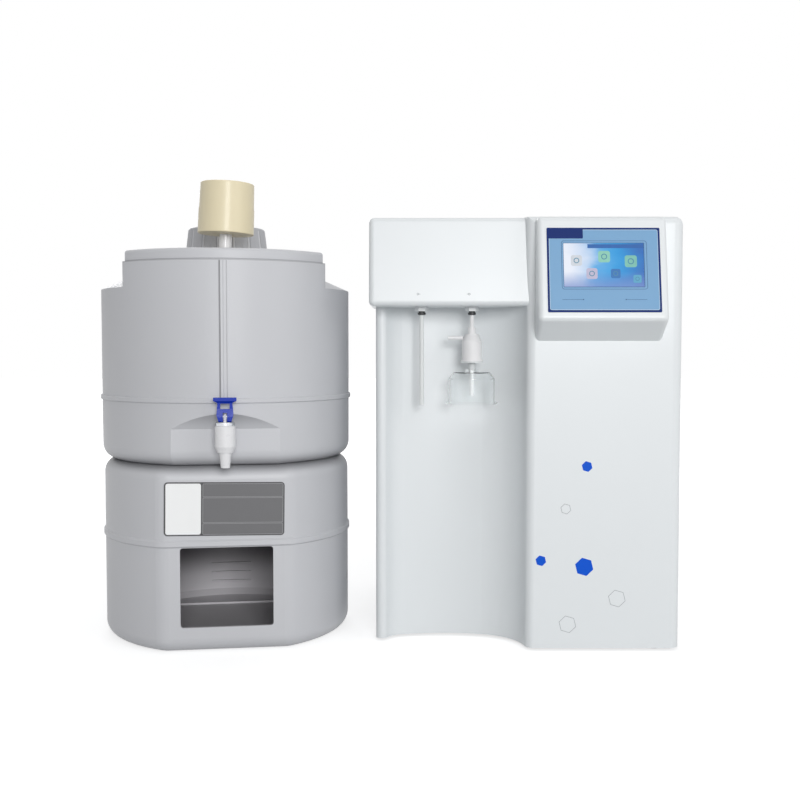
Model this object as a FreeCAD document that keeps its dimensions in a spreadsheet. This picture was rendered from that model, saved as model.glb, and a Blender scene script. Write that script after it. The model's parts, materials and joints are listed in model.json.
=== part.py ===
"""Bench ultrapure water system: a white dispensing unit beside a grey storage tank on its pedestal.

Row frame: +X to the right, +Y to the back, +Z up, in millimetres, with the origin on the bench
under the middle of the two units. Each unit is drawn in a frame of its own and then put in its
place: the main unit's frame starts at the left side of its head, in the plane of its column
front, and the tank's frame starts on the tank's own axis with its front towards -Y.
"""
import FreeCAD, Part
import Sketcher
import math
import os
import re

V = FreeCAD.Vector
UP = V(0, 0, 1)
ACROSS = V(1, 0, 0)
BACK = V(0, 1, 0)

# Every driving length in millimetres: its name in the sheet, then its value.
LENGTHS = {
    # the two units in the row
    "unit_across": -15.0, "unit_back": -170.463, "tank_across": -234.5,
    "tank_back": -17.463, "cut_overrun": 6.0, "seat_gap": 0.3, "slide_gap": 0.25,
    # pedestal
    "pedestal_inset": 2.0, "pedestal_height": 261.5, "pedestal_flat": 23.0,
    "pedestal_wall": 5.0, "pedestal_edge_round": 20.0, "pedestal_corner_round": 34.0,
    "window_width": 128.0, "window_sill": 35.5, "window_lintel": 1.5, "window_round": 4.0,
    "ridge_foot": 148.5, "ridge_height": 8.5, "ridge_proud": 2.5, "ridge_round": 1.2,
    "rib_first": 26.0, "rib_pitch": 15.0, "rib_height": 3.0, "rib_proud": 3.0, "rib_width": 66.0,
    "floor_rib_back": 102.0,
    # tank
    "tank_radius": 184.0, "tank_wall": 5.0, "tank_edge_round": 21.0, "shoulder_rise": 246.5,
    "cone_run": 62.0, "crown_half": 141.0, "crown_height": 35.3,
    "crown_lap": 20.0, "crown_round": 6.0, "plate_inset": 3.5, "plate_height": 15.7,
    "plate_round": 4.5, "band_rise": 86.6, "band_height": 7.2, "band_proud": 2.5,
    "strip_width": 10.4, "strip_proud": 1.6, "recess_deep": 15.5, "recess_shoulder": 51.0,
    "recess_slope": 22.0,
    "neck_radius": 52.0, "neck_wall": 7.0, "neck_height": 38.0, "neck_back": 22.0,
    # cap
    "cap_foot_radius": 63.0, "cap_top_radius": 57.5, "cap_roof": 3.0,
    "cap_round": 4.0, "cap_flute_radius": 7.0, "cap_flute_depth": 2.2,
    "cap_foot_gap": 0.6, "cap_thread_gap": 1.0, "cap_flute_stop": 5.0, "seal_thick": 4.0,
    "seal_lap": 1.5,
    # vent
    "vent_forward": 108.0, "vent_foot": 24.5, "vent_height": 71.0,
    "vent_radius": 38.8, "vent_taper": 0.8, "vent_wall": 2.6,
    "vent_stem_radius": 8.7, "vent_stem_bore": 5.0, "vent_stem_drop": 14.0,
    "vent_hole_gap": 0.6, "vent_lip": 0.5, "vent_rim_round": 1.6, "vent_nut_radius": 14.0,
    "vent_nut_thick": 6.0,
    "pleat_radius": 31.0, "pleat_bore": 14.0, "pleat_headroom": 23.0,
    "pleat_depth": 3.0,
    # tap
    "tap_reach": 29.5, "shank_rise": 35.0, "tap_drop": 34.2, "nozzle_rise": 19.5,
    "nozzle_tip_radius": 6.2, "nozzle_top_radius": 8.2, "nozzle_bore": 4.0, "cup_drop": 13.5,
    "cup_foot_radius": 11.0, "cup_radius": 14.0, "cup_turn_drop": 5.5, "cup_rise": 8.1,
    "chamber_bore": 9.5, "seat_drop": 8.5, "shank_radius": 7.8, "shank_bore": 4.5,
    "shank_length": 26.0, "flange_radius": 13.0, "flange_thick": 3.0, "washer_thick": 2.0,
    "washer_radius": 12.5, "tap_nut_radius": 14.0, "tap_nut_thick": 8.0,
    "bonnet_height": 14.8, "bonnet_roof": 3.0, "bonnet_spigot": 4.0, "ring_height": 4.6,
    "ring_radius": 13.2, "stem_radius": 2.6, "stem_collar_radius": 6.5, "stem_collar_rise": 11.5,
    "stem_collar_thick": 2.0, "stem_crown": 4.0, "seal_cup_radius": 6.4, "seal_cup_thick": 4.0,
    "spring_radius": 4.9, "spring_wire": 1.1,
    "pivot_rise": 7.0, "pin_radius": 1.5, "pin_length": 15.0,
    "lever_height": 32.7, "lever_width": 22.6, "lever_flare": 30.8, "lever_thick": 11.0,
    "lever_lip_height": 4.5, "lever_slot_width": 5.8, "lever_window_width": 12.5,
    "lever_window_drop": 11.0, "lever_window_height": 7.5, "lever_round": 2.5,
    "lever_foot_width": 17.0, "lever_waist": 1.4, "lever_blade": 6.0, "lever_cam": 1.5,
    "lever_lip": 3.0, "lever_slot_gap": 1.6, "pin_gap": 0.08, "ring_edge": 1.0,
    "tap_side_gap": 0.45,
    # fittings at the back of the tank
    "port_radius": 9.0, "port_bore": 3.2, "port_reach": 20.0, "port_flange_radius": 14.0,
    "port_flange_thick": 4.0, "port_nut_radius": 14.0, "port_nut_thick": 7.0,
    "port_rise": 40.5, "port_hole_gap": 0.4, "port_wall_gap": 0.6, "sensor_radius": 11.0,
    "sensor_reach": 26.0,
    "sensor_round": 3.0, "tube_radius": 3.175,
    # main unit
    "unit_height": 604.0, "unit_depth": 398.0, "side_inset": 8.5,
    "foot_height": 4.0, "moulding_depth": 150.0, "moulding_wall": 4.0,
    "top_round": 11.0, "side_round": 14.0,
    "lip_front": 50.0, "lip_round": 8.5, "bay_left_sweep": 34.0, "bay_arc": 230.0,
    "bay_shift": 4.0, "bay_deep": 79.5, "bay_right_sweep": 75.0, "column_edge": 218.0,
    "column_round": 12.0,
    "head_lap": 14.0, "head_low_front": 3.0, "head_top_front": 18.0, "head_depth": 120.0,
    "head_height": 123.0, "head_round": 7.0,
    "wire_hole_width": 120.0, "wire_hole_rise": 45.0, "wire_hole_height": 90.0,
    "cover_wall": 2.0, "panel_recess": 18.0, "panel_thick": 2.0, "panel_gap": 0.3,
    "slot_length": 90.0, "slot_width": 4.0, "slot_pitch": 12.0, "slot_drop": 174.0,
    "slot_inset": 144.0,
    "base_thick": 2.0, "base_front": 95.0, "tongue_inset": 22.0, "base_corner": 9.0,
    "foot_radius": 13.0, "foot_inset": 32.0, "foot_front": 26.0,
    # display pod
    "pod_inset": 11.0, "pod_rim": 11.5, "pod_chin": 28.0, "pod_face": 139.0,
    "pod_reach": 40.0, "pod_top_reach": 13.0, "pod_ledge": 3.0, "pod_top_gap": 1.0,
    "pod_wall": 3.0, "pod_round": 7.0,
    "screen_width": 108.5, "screen_tall": 63.0, "screen_shift": 1.0, "screen_rise": 35.0,
    "module_width": 121.0, "module_tall": 77.0, "module_thick": 5.0, "glass_step": 0.6,
    "overlay_width": 153.0, "overlay_tall": 117.0, "overlay_thick": 0.6,
    "overlay_rise": 10.2, "overlay_round": 1.5,
    "board_gap": 8.0, "board_thick": 1.6, "stud_radius": 3.0, "board_inset": 5.0,
    # outlets
    "outlet_left_shift": 31.4, "outlet_right_shift": 39.5, "outlet_back": 37.0,
    "union_radius": 6.0,
    "union_flange_radius": 9.45, "union_flange_thick": 6.2, "union_rise": 22.0,
    "collet_radius": 5.6, "collet_drop": 5.2, "collet_lap": 6.0, "collet_edge": 0.8,
    "collet_travel": 1.5, "lock_nut_radius": 10.0, "lock_nut_thick": 5.0,
    "tube_bore": 2.15, "spout_length": 138.0, "union_bore": 4.6, "union_socket": 14.0,
    # terminal filter
    "capsule_radius": 14.2, "capsule_drop": 29.0, "capsule_neck": 9.0,
    "capsule_dome": 11.0, "capsule_barrel": 27.5, "capsule_wall": 1.6,
    "vent_nipple_reach": 34.0, "vent_nipple_radius": 3.0, "vent_nipple_drop": 5.5,
    "capsule_neck_radius": 5.5, "capsule_flange_radius": 15.8, "capsule_flange_thick": 2.0,
    "barb_radius": 5.6,
    "capsule_crown": 5.0, "core_gap": 0.5, "bell_hub": 4.0, "barb_step": 1.2,
    "bell_top_radius": 26.0, "bell_round": 3.5, "bell_radius": 32.6, "bell_drop": 15.5,
    "bell_crown": 9.0, "bell_height": 44.5,
    "bell_flange_radius": 36.6, "bell_wall": 1.8, "bell_flange_thick": 2.2, "bell_hub_radius": 9.0,
    "nozzle_inset": 11.5,
    # what the cabinet holds
    "wall_plate_gap": 1.5, "wall_plate_shift": 10.0, "wall_plate_thick": 1.5,
    "wall_plate_drop": 44.0, "wall_plate_lip": 22.0,
    "pack_radius": 38.0, "pack_foot": 24.0, "pack_headroom": 180.0, "pack_side_gap": 22.5,
    "pack_gap": 13.0, "pack_cap": 26.0, "pack_cap_proud": 1.5, "cartridge_dome": 5.0,
    "stub_radius": 5.0, "stub_height": 12.0, "clip_thick": 3.0, "clip_pad": 5.0,
    "clip_height": 18.0,
    "prefilter_radius": 31.0, "prefilter_foot": 196.0, "prefilter_headroom": 146.0,
    "prefilter_inset": 29.0, "prefilter_gap": 14.0, "prefilter_cap": 20.0,
    "membrane_gap": 4.0, "membrane_headroom": 124.0, "membrane_foot": 150.0,
    "lamp_shift": 74.0, "lamp_radius": 25.5, "lamp_headroom": 128.0, "lamp_foot": 196.0,
    "lamp_cap": 18.0,
    "pump_left": 70.0, "pump_inset": 98.0, "pump_radius": 31.0, "pump_length": 96.0,
    "pump_head": 46.0, "pump_bracket": 70.0, "pump_rubber": 8.0, "pump_foot_thick": 4.5,
    "pump_head_round": 4.0,
    "supply_side_gap": 24.0, "supply_rear_gap": 12.0, "supply_width": 160.0,
    "supply_depth": 98.0, "supply_height": 42.0,
    "main_board_side_gap": 28.0, "main_board_headroom": 52.0, "main_board_width": 160.0,
    "main_board_tall": 100.0, "main_board_stand": 8.0,
    "valve_left": 60.0, "valve_pitch": 60.0, "valve_level": 120.0, "valve_block": 26.0,
    "valve_depth": 34.0, "coil_radius": 13.0, "coil_height": 34.0,
    # connections on the recessed back panel
    "rear_port_left": 70.0, "rear_port_pitch": 46.0, "rear_row_level": 70.0,
    "rear_barrel_radius": 7.0, "rear_hex_radius": 9.5, "rear_hex_thick": 6.0,
    "rear_reach": 13.0, "rear_nut_thick": 5.0, "rear_shank_proud": 4.0,
    "inlet_inset": 118.0, "inlet_width": 50.0, "inlet_tall": 28.0,
    "inlet_flange": 2.0, "inlet_body_depth": 22.0, "inlet_socket_width": 24.0,
    "inlet_socket_tall": 16.5, "inlet_socket_depth": 16.0, "blade_width": 2.0,
    "blade_tall": 4.0, "blade_length": 12.0, "blade_spread": 7.0,
    "switch_gap": 20.0, "switch_width": 22.0, "switch_tall": 30.0,
    "switch_flange": 2.0, "switch_body_depth": 16.0, "rocker_width": 14.0, "rocker_tall": 20.0,
    "rocker_proud": 3.0, "rocker_pivot": 3.0, "rocker_depth": 9.0, "rocker_gap": 1.4,
    "screw_radius": 3.2, "screw_head": 2.0, "screw_shank_radius": 1.6, "screw_length": 8.0,
    "screw_inset": 10.0, "screw_gap": 0.2,
}
ANGLES = {"tank_turn": 8.0, "cone_slope": 24.0, "vent_lean": 2.5, "port_turn": 13.0, "rocker_swing": 9.0}
COUNTS = {
    "cap_flutes": 16, "pleats": 24, "spring_turns": 4.5, "floor_ribs": 3, "slots": 8,
    "supply_slots": 8, "valves": 3, "prefilters": 3, "packs": 2, "rear_ports": 4, "relays": 4,
    "barb_rings": 3,
}
# Places along the piece that carries them, as shares of its size.
SHARES = {
    "clip_low_share": 0.22, "clip_high_share": 0.76, "clip_open_share": 0.55,
    "hollow_bevel_share": 0.6,
    "screw_low_share": 0.04, "screw_middle_share": 0.5, "screw_high_share": 0.96,
}
# Levels and places that follow from the sizes above, each from what carries the piece.
PLACES = {
    "pedestal_radius": "tank_radius - pedestal_inset",
    "pedestal_face": "pedestal_radius - pedestal_flat",
    "window_head": "ridge_foot - window_lintel",
    "crown_rise": "shoulder_rise + crown_height",
    "plate_rise": "crown_rise + plate_height",
    "neck_rise": "plate_rise + neck_height",
    "neck_bore": "neck_radius - neck_wall",
    "recess_face": "tank_radius - recess_deep",
    "recess_top": "recess_shoulder + recess_slope",
    "port_level": "pedestal_height + port_rise",
    "vent_seam": "vent_height / 2",
    "pleat_height": "vent_height - pleat_headroom",
    # the tap, up from the middle of its shank
    "tap_forward": "recess_face + tap_reach",
    "shank_level": "pedestal_height + shank_rise",
    "tap_tip": "shank_level - tap_drop",
    "cup_foot": "shank_level - cup_drop",
    "cup_turn": "shank_level - cup_turn_drop",
    "cup_top": "shank_level + cup_rise",
    "seat_level": "shank_level - seat_drop",
    "stem_collar_level": "seat_level + stem_collar_rise",
    "bonnet_top": "cup_top + bonnet_height",
    "ring_top": "bonnet_top + ring_height",
    "pivot_level": "ring_top + pivot_rise",
    "stem_top": "pivot_level + stem_crown",
    "lever_foot": "ring_top + seat_gap",
    "lever_top": "lever_foot + lever_height",
    "lever_lip_foot": "lever_top - lever_lip_height",
    "lever_window_foot": "lever_lip_foot - lever_window_drop",
    # the main unit: two packs side by side set the column's width
    "pack_pitch": "2 * (pack_radius + pack_cap_proud) + pack_gap",
    "pack_left": "column_edge + pack_side_gap + pack_radius + pack_cap_proud",
    "unit_width": "pack_left + pack_pitch + pack_radius + pack_cap_proud + pack_side_gap",
    "pack_height": "unit_height - pack_foot - pack_headroom",
    "bay_centre": "column_edge / 2 - bay_shift",
    "head_width": "column_edge + head_lap",
    "soffit": "unit_height - head_height",
    "outlet_left": "bay_centre - outlet_left_shift",
    "outlet_right": "bay_centre + outlet_right_shift",
    "pod_left": "column_edge + pod_inset",
    "pod_width": "overlay_width + 2 * pod_rim",
    "pod_top": "unit_height - pod_top_gap",
    "pod_shoulder": "pod_top - pod_ledge",
    "pod_nose": "pod_shoulder - pod_face",
    "pod_low": "pod_nose - pod_chin",
    "wire_hole_foot": "pod_low + wire_hole_rise",
    "slot_foot": "unit_height - slot_drop",
    "slot_across": "unit_width - slot_inset",
    "tongue_left": "column_edge + tongue_inset",
    # hung from the soffit
    "spout_foot": "soffit - spout_length",
    "capsule_neck_top": "soffit - capsule_drop",
    "capsule_top": "capsule_neck_top - capsule_neck",
    "vent_nipple_level": "capsule_top - vent_nipple_drop",
    "capsule_shoulder": "capsule_top - capsule_dome",
    "capsule_foot": "capsule_shoulder - capsule_barrel",
    "bell_top": "capsule_foot - bell_drop",
    "bell_shoulder": "bell_top - bell_crown",
    "bell_foot": "bell_top - bell_height",
    "nozzle_drop": "bell_foot + nozzle_inset",
    # inside the cabinet
    "wall_plate_back": "moulding_depth + wall_plate_shift",
    "wall_plate_top": "unit_height - wall_plate_drop",
    "prefilter_left": "prefilter_inset + prefilter_radius",
    "prefilter_pitch": "2 * prefilter_radius + prefilter_gap",
    "prefilter_height": "unit_height - prefilter_foot - prefilter_headroom",
    "membrane_left": "prefilter_left + prefilters * prefilter_pitch + membrane_gap",
    "membrane_height": "unit_height - membrane_foot - membrane_headroom",
    "lamp_left": "membrane_left + lamp_shift",
    "lamp_height": "unit_height - lamp_foot - lamp_headroom",
    "pump_back": "unit_depth - pump_inset",
    "supply_left": "unit_width - supply_side_gap - supply_width",
    "supply_back": "unit_depth - panel_recess - panel_thick - supply_rear_gap - supply_depth",
    "main_board_left": "unit_width - main_board_side_gap - main_board_width",
    "main_board_foot": "unit_height - main_board_headroom - main_board_tall",
    "rear_port_level": "rear_row_level",
    "inlet_left": "unit_width - inlet_inset",
    "inlet_level": "rear_row_level",
    "switch_left": "inlet_left + (inlet_width + switch_width) / 2 + switch_gap",
    "switch_level": "rear_row_level",
}
SIZES = {**LENGTHS, **ANGLES, **COUNTS, **SHARES, **PLACES}
NEAR = 1e-3  # how close two places must be to count as one
STRAIGHT = 0.9999  # how closely a direction must follow an axis to count as along it


DOC = FreeCAD.newDocument("water_system")
SHEET = DOC.addObject("Spreadsheet::Sheet", "Sizes")
NODES = []
CHAMFER = "PartDesign::Chamfer"
SIDES = ("left", "right")
SCREW_SHARES = ("screw_low_share", "screw_middle_share", "screw_high_share")


def fill_sheet():
    """Writes each size, and the sum for each place, into the sheet under its own name."""
    for row, (name, value) in enumerate(SIZES.items(), 1):
        SHEET.set(f"A{row}", name)
        SHEET.set(f"B{row}", f"={value}")
        SHEET.setAlias(f"B{row}", name)
    DOC.recompute()


def linked(expression):
    """The same sum with each size's name written as a reference to its cell."""
    return re.sub(r"[a-z_][a-z0-9_]*",
                  lambda word: "Sizes." + word.group() if word.group() in SIZES else word.group(),
                  str(expression))


def size(expression):
    """The value of a sum of sizes."""
    result = SHEET.evalExpression(str(expression))
    return float(getattr(result, "Value", result))


def bind(item, prop, expression):
    """Ties a property of an object to a sum of sizes."""
    item.setExpression(prop, linked(expression))


class Piece:
    """One body, drawn in the frame of its unit, with the operations that the pieces share."""

    def __init__(self, name):
        self.body = DOC.addObject("PartDesign::Body", name)
        self.body.AllowCompound = True
        self.count = 0

    def add(self, kind, word):
        self.count += 1
        return self.body.newObject(kind, f"{self.body.Name}_{word}{self.count}")

    def sketch(self, role, level="0"):
        """An empty sketch on one of the body's own planes, moved along that plane's axis."""
        sketch = self.add("Sketcher::SketchObject", "sketch")
        plane = next(item for item in self.body.Origin.OriginFeatures if item.Role == role)
        sketch.AttachmentSupport = [(plane, "")]
        sketch.MapMode = "FlatFace"
        bind(sketch, "AttachmentOffset.Base.z", f"-({level})" if role == "XZ_Plane" else level)
        return sketch

    def polygon(self, role, corners, level="0"):
        """A closed outline of straight edges with each corner at two sums of sizes."""
        sketch = self.sketch(role, level)
        add_polygon(sketch, corners)
        return sketch

    def circles(self, role, spots, level="0"):
        """Circles, each given by its centre and its radius."""
        sketch = self.sketch(role, level)
        for across, along, radius in spots:
            add_circle(sketch, across, along, radius)
        return sketch

    def rectangle(self, role, left, low, right, high, level="0"):
        corners = ((left, low), (right, low), (right, high), (left, high))
        return self.polygon(role, corners, level)

    def extrude(self, kind, sketch, length, flip, middle):
        feature = self.add(kind, kind.split("::")[1].lower())
        feature.Profile = sketch
        feature.Midplane = middle
        feature.Reversed = flip
        bind(feature, "Length", length)
        sketch.Visibility = False
        DOC.recompute()
        return feature

    def pad(self, sketch, length, flip=False, middle=False):
        return self.extrude("PartDesign::Pad", sketch, length, flip, middle)

    def pocket(self, sketch, length, flip=False, middle=False):
        before = self.body.Shape.Volume
        feature = self.extrude("PartDesign::Pocket", sketch, length, flip, middle)
        if not self.body.Shape.Volume < before:
            raise RuntimeError(f"{feature.Name} cuts nothing")
        return feature

    def turn(self, corners):
        """A solid of revolution about the vertical axis from radii and heights."""
        sketch = self.polygon("XZ_Plane", corners)
        feature = self.add("PartDesign::Revolution", "turn")
        feature.Profile = sketch
        feature.ReferenceAxis = (sketch, ["V_Axis"])
        feature.Angle = 360
        DOC.recompute()
        return feature

    def spread(self, feature, copies):
        """Copies of a feature round the vertical axis."""
        pattern = self.add("PartDesign::PolarPattern", "pattern")
        pattern.Originals = [feature]
        axis = next(item for item in self.body.Origin.OriginFeatures if item.Role == "Z_Axis")
        pattern.Axis = (axis, [""])
        pattern.Angle = 360
        bind(pattern, "Occurrences", copies)
        self.body.Tip = pattern
        DOC.recompute()
        return pattern

    def round(self, radius, chosen, kind="PartDesign::Fillet"):
        """Rounds, or chamfers, every edge that the test picks."""
        base = self.body.Tip
        names = [f"Edge{number}" for number, edge in enumerate(base.Shape.Edges, 1) if chosen(edge)]
        if not names:
            raise RuntimeError(f"{self.body.Name} has no such edge to round")
        feature = self.add(kind, "round")
        feature.Base = (base, names)
        bind(feature, "Radius" if kind.endswith("Fillet") else "Size", radius)
        DOC.recompute()
        if feature.Shape.isNull() or "Invalid" in feature.State:
            raise RuntimeError(f"{feature.Name} could not round {names}")
        return feature


def add_polygon(sketch, corners):
    """Straight edges through the corners, each corner tied to its two sums."""
    points = [V(size(across), size(along), 0) for across, along in corners]
    first = sketch.GeometryCount
    last = len(points) - 1
    for number, point in enumerate(points):
        sketch.addGeometry(Part.LineSegment(point, points[(number + 1) % len(points)]), False)
    for number in range(len(points)):
        after = first + (number + 1 if number < last else 0)
        sketch.addConstraint(Sketcher.Constraint("Coincident", first + number, 2, after, 1))
    for number, (across, along) in enumerate(corners):
        pin(sketch, first + number, 1, across, along)


def add_circle(sketch, across, along, radius):
    """A circle tied to its centre and radius."""
    centre = V(size(across), size(along), 0)
    number = sketch.addGeometry(Part.Circle(centre, UP, size(radius)), False)
    pin(sketch, number, 3, across, along)
    set_radius(sketch, number, radius)


def pin(sketch, geometry, point, across, along):
    """Ties one point of a sketch to its distances from the sketch's origin."""
    for kind, expression in (("DistanceX", across), ("DistanceY", along)):
        if expression is None:
            continue
        rule = Sketcher.Constraint(kind, -1, 1, geometry, point, size(expression))
        sketch.setExpression(f"Constraints[{sketch.addConstraint(rule)}]", linked(expression))


def set_radius(sketch, geometry, radius):
    """Ties a circle's or an arc's radius to a sum of sizes."""
    rule = Sketcher.Constraint("Radius", geometry, size(radius))
    sketch.setExpression(f"Constraints[{sketch.addConstraint(rule)}]", linked(radius))


def join(sketch, first, second, kind="Coincident"):
    """Joins the end of one edge to the start of the next, squarely or in tangent."""
    sketch.addConstraint(Sketcher.Constraint(kind, first, 2, second, 1))


def arc(centre, radius, start, end, clockwise=False):
    """An arc of a circle between two points about its centre, as a sketch holds it."""
    begin = math.atan2(start.y - centre.y, start.x - centre.x)
    finish = math.atan2(end.y - centre.y, end.x - centre.x)
    if clockwise:
        begin, finish = finish, begin
    if finish <= begin:
        finish += 2 * math.pi
    return Part.ArcOfCircle(Part.Circle(centre, UP, radius), begin, finish)


def cut(name, base, tools):
    """One piece with others taken away from it."""
    result = DOC.addObject("Part::Cut", name)
    result.Base = base
    result.Tool = tools[0] if len(tools) == 1 else union(name + "_tools", tools)
    DOC.recompute()
    if not result.Shape.Volume < base.Shape.Volume:
        raise RuntimeError(f"{name} is not cut")
    return result


def union(name, pieces):
    result = DOC.addObject("Part::MultiFuse", name)
    result.Shapes = pieces
    DOC.recompute()
    return result


def rod(name, radius, length, spot=("0", "0", "0"), axis=UP):
    """A plain cylinder that starts at a spot and runs along an axis, to cut a bore with."""
    item = DOC.addObject("Part::Cylinder", name)
    bind(item, "Radius", radius)
    bind(item, "Height", length)
    item.Placement = FreeCAD.Placement(spot_vector(spot), FreeCAD.Rotation(UP, axis))
    DOC.recompute()
    return item


def block(name, low, high):
    """A plain box between two corners, to cut an opening with."""
    item = DOC.addObject("Part::Box", name)
    for prop, begin, end in zip(("Length", "Width", "Height"), low, high):
        bind(item, prop, f"({end}) - ({begin})")
    for prop, begin in zip("xyz", low):
        bind(item, f"Placement.Base.{prop}", begin)
    DOC.recompute()
    return item


def spot_vector(spot):
    return V(*(size(expression) for expression in spot))


def unit_frame():
    return FreeCAD.Placement(spot_vector(("unit_across", "unit_back", "0")), FreeCAD.Rotation())


def tank_frame():
    """The tank stands turned about its own axis, towards whoever stands before the row."""
    return FreeCAD.Placement(spot_vector(("tank_across", "tank_back", "0")),
                             FreeCAD.Rotation(UP, size("tank_turn")))


def settle(item, label, frame, spot=("0", "0", "0"), turned=FreeCAD.Rotation()):
    """Names a finished sub-part and puts it in its place in the row."""
    item = item.body if isinstance(item, Piece) else item
    item.Label = label
    item.Placement = frame.multiply(FreeCAD.Placement(spot_vector(spot), turned))
    NODES.append(item)
    return item


# How edges are picked to be rounded.

def upright(edge):
    box = edge.BoundBox
    return box.ZLength > size("seat_gap") and box.XLength < NEAR and box.YLength < NEAR


def level_at(*heights):
    """Picks the edges that lie in one of the level planes."""
    levels = [size(height) for height in heights]

    def chosen(edge):
        box = edge.BoundBox
        return box.ZLength < NEAR and any(abs(box.ZMin - level) < NEAR for level in levels)
    return chosen


def runs_along(axis):
    """Picks the straight edges that run along an axis."""
    def chosen(edge):
        if not isinstance(edge.Curve, Part.Line):
            return False
        return abs(edge.tangentAt(edge.FirstParameter).dot(axis)) > STRAIGHT
    return chosen


# The pedestal and the tank: turned drums with flats.

def drum_plan(sketch, radius, face):
    """A circle with its front cut flat."""
    wide, deep = size(radius), size(face)
    half = math.sqrt(wide ** 2 - deep ** 2)
    right, left = V(half, -deep, 0), V(-half, -deep, 0)
    rim = sketch.addGeometry(arc(V(), wide, right, left), False)
    flat = sketch.addGeometry(Part.LineSegment(left, right), False)
    join(sketch, rim, flat)
    join(sketch, flat, rim)
    sketch.addConstraint(Sketcher.Constraint("Coincident", rim, 3, -1, 1))
    sketch.addConstraint(Sketcher.Constraint("Horizontal", flat))
    set_radius(sketch, rim, radius)
    pin(sketch, flat, 1, None, f"-({face})")


def crown_plan(sketch, radius, half):
    """A circle with both its sides cut flat."""
    wide, side = size(radius), size(half)
    deep = math.sqrt(wide ** 2 - side ** 2)
    front_right, back_right = V(side, -deep, 0), V(side, deep, 0)
    back_left, front_left = V(-side, deep, 0), V(-side, -deep, 0)
    edges = (Part.LineSegment(front_right, back_right), arc(V(), wide, back_right, back_left),
             Part.LineSegment(back_left, front_left), arc(V(), wide, front_left, front_right))
    first, back, second, front = [sketch.addGeometry(edge, False) for edge in edges]
    for before, after in ((first, back), (back, second), (second, front), (front, first)):
        join(sketch, before, after)
    for rim in (back, front):
        sketch.addConstraint(Sketcher.Constraint("Coincident", rim, 3, -1, 1))
        set_radius(sketch, rim, radius)
    for flat, expression in ((first, half), (second, f"-({half})")):
        sketch.addConstraint(Sketcher.Constraint("Vertical", flat))
        pin(sketch, flat, 1, expression, None)


def pedestal_form(name, inset):
    """The pedestal's drum, drawn in by a wall thickness."""
    piece = Piece(name)
    plan = piece.sketch("XY_Plane", inset)
    drum_plan(plan, f"pedestal_radius - {inset}", f"pedestal_face - {inset}")
    piece.pad(plan, f"pedestal_height - 2 * {inset}")
    piece.round(f"pedestal_corner_round - {inset}", upright)
    ends = level_at(inset, f"pedestal_height - {inset}")
    if inset == "0":
        piece.round("pedestal_edge_round", ends)
    else:
        piece.round(f"(pedestal_edge_round - {inset}) * hollow_bevel_share", ends, CHAMFER)
    return piece


def pedestal():
    """Moulded in one hollow piece, with a band round its middle and a window in its flat front."""
    outside = pedestal_form("pedestal_outside", "0")
    band = outside.sketch("XY_Plane", "ridge_foot")
    drum_plan(band, "pedestal_radius + ridge_proud", "pedestal_face + ridge_proud")
    outside.pad(band, "ridge_height")
    outside.round("pedestal_corner_round + ridge_proud", outer_corner)
    outside.round("ridge_round", ridge_rim, CHAMFER)
    window = outside.rectangle("XZ_Plane", "-window_width / 2", "window_sill",
                               "window_width / 2", "window_head",
                               "-pedestal_face - ridge_proud - cut_overrun")
    outside.pocket(window, "pedestal_wall + ridge_proud + 2 * cut_overrun")
    outside.round("window_round", lambda edge: runs_along(BACK)(edge)
                  and edge.BoundBox.XMax < size("window_width / 2 + slide_gap")
                  and edge.BoundBox.ZMax < size("window_head + slide_gap"))
    hollow = pedestal_form("pedestal_hollow", "pedestal_wall")
    back = "sqrt((pedestal_radius - pedestal_wall)^2 - (rib_width / 2)^2) - rib_proud"
    for rib in range(int(size("floor_ribs"))):
        foot = f"rib_first + {rib} * rib_pitch"
        bar = hollow.rectangle("XZ_Plane", "-rib_width / 2", foot, "rib_width / 2",
                               f"{foot} + rib_height", back)
        hollow.pocket(bar, "2 * cut_overrun + rib_proud")
    sill = hollow.rectangle("YZ_Plane", "floor_rib_back", "0", "floor_rib_back + rib_height",
                            "pedestal_wall + rib_height")
    hollow.pocket(sill, "2 * pedestal_radius", middle=True)
    settle(cut("pedestal_shell", outside.body, [hollow.body]), "pedestal", tank_frame())


def outer_corner(edge):
    """Picks the short upright edges of the band that stand outside the drum."""
    return upright(edge) and edge.BoundBox.ZLength < size("ridge_height + slide_gap")


def ridge_rim(edge):
    """Picks the outer rims of the band."""
    box = edge.BoundBox
    level = box.ZLength < NEAR
    if not level:
        return False
    near = min(abs(box.ZMin - size(height)) for height in ("ridge_foot", "ridge_foot + ridge_height"))
    reach = max(abs(box.XMin), abs(box.XMax), abs(box.YMin), abs(box.YMax))
    return near < NEAR and reach > size("pedestal_face + slide_gap")


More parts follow.
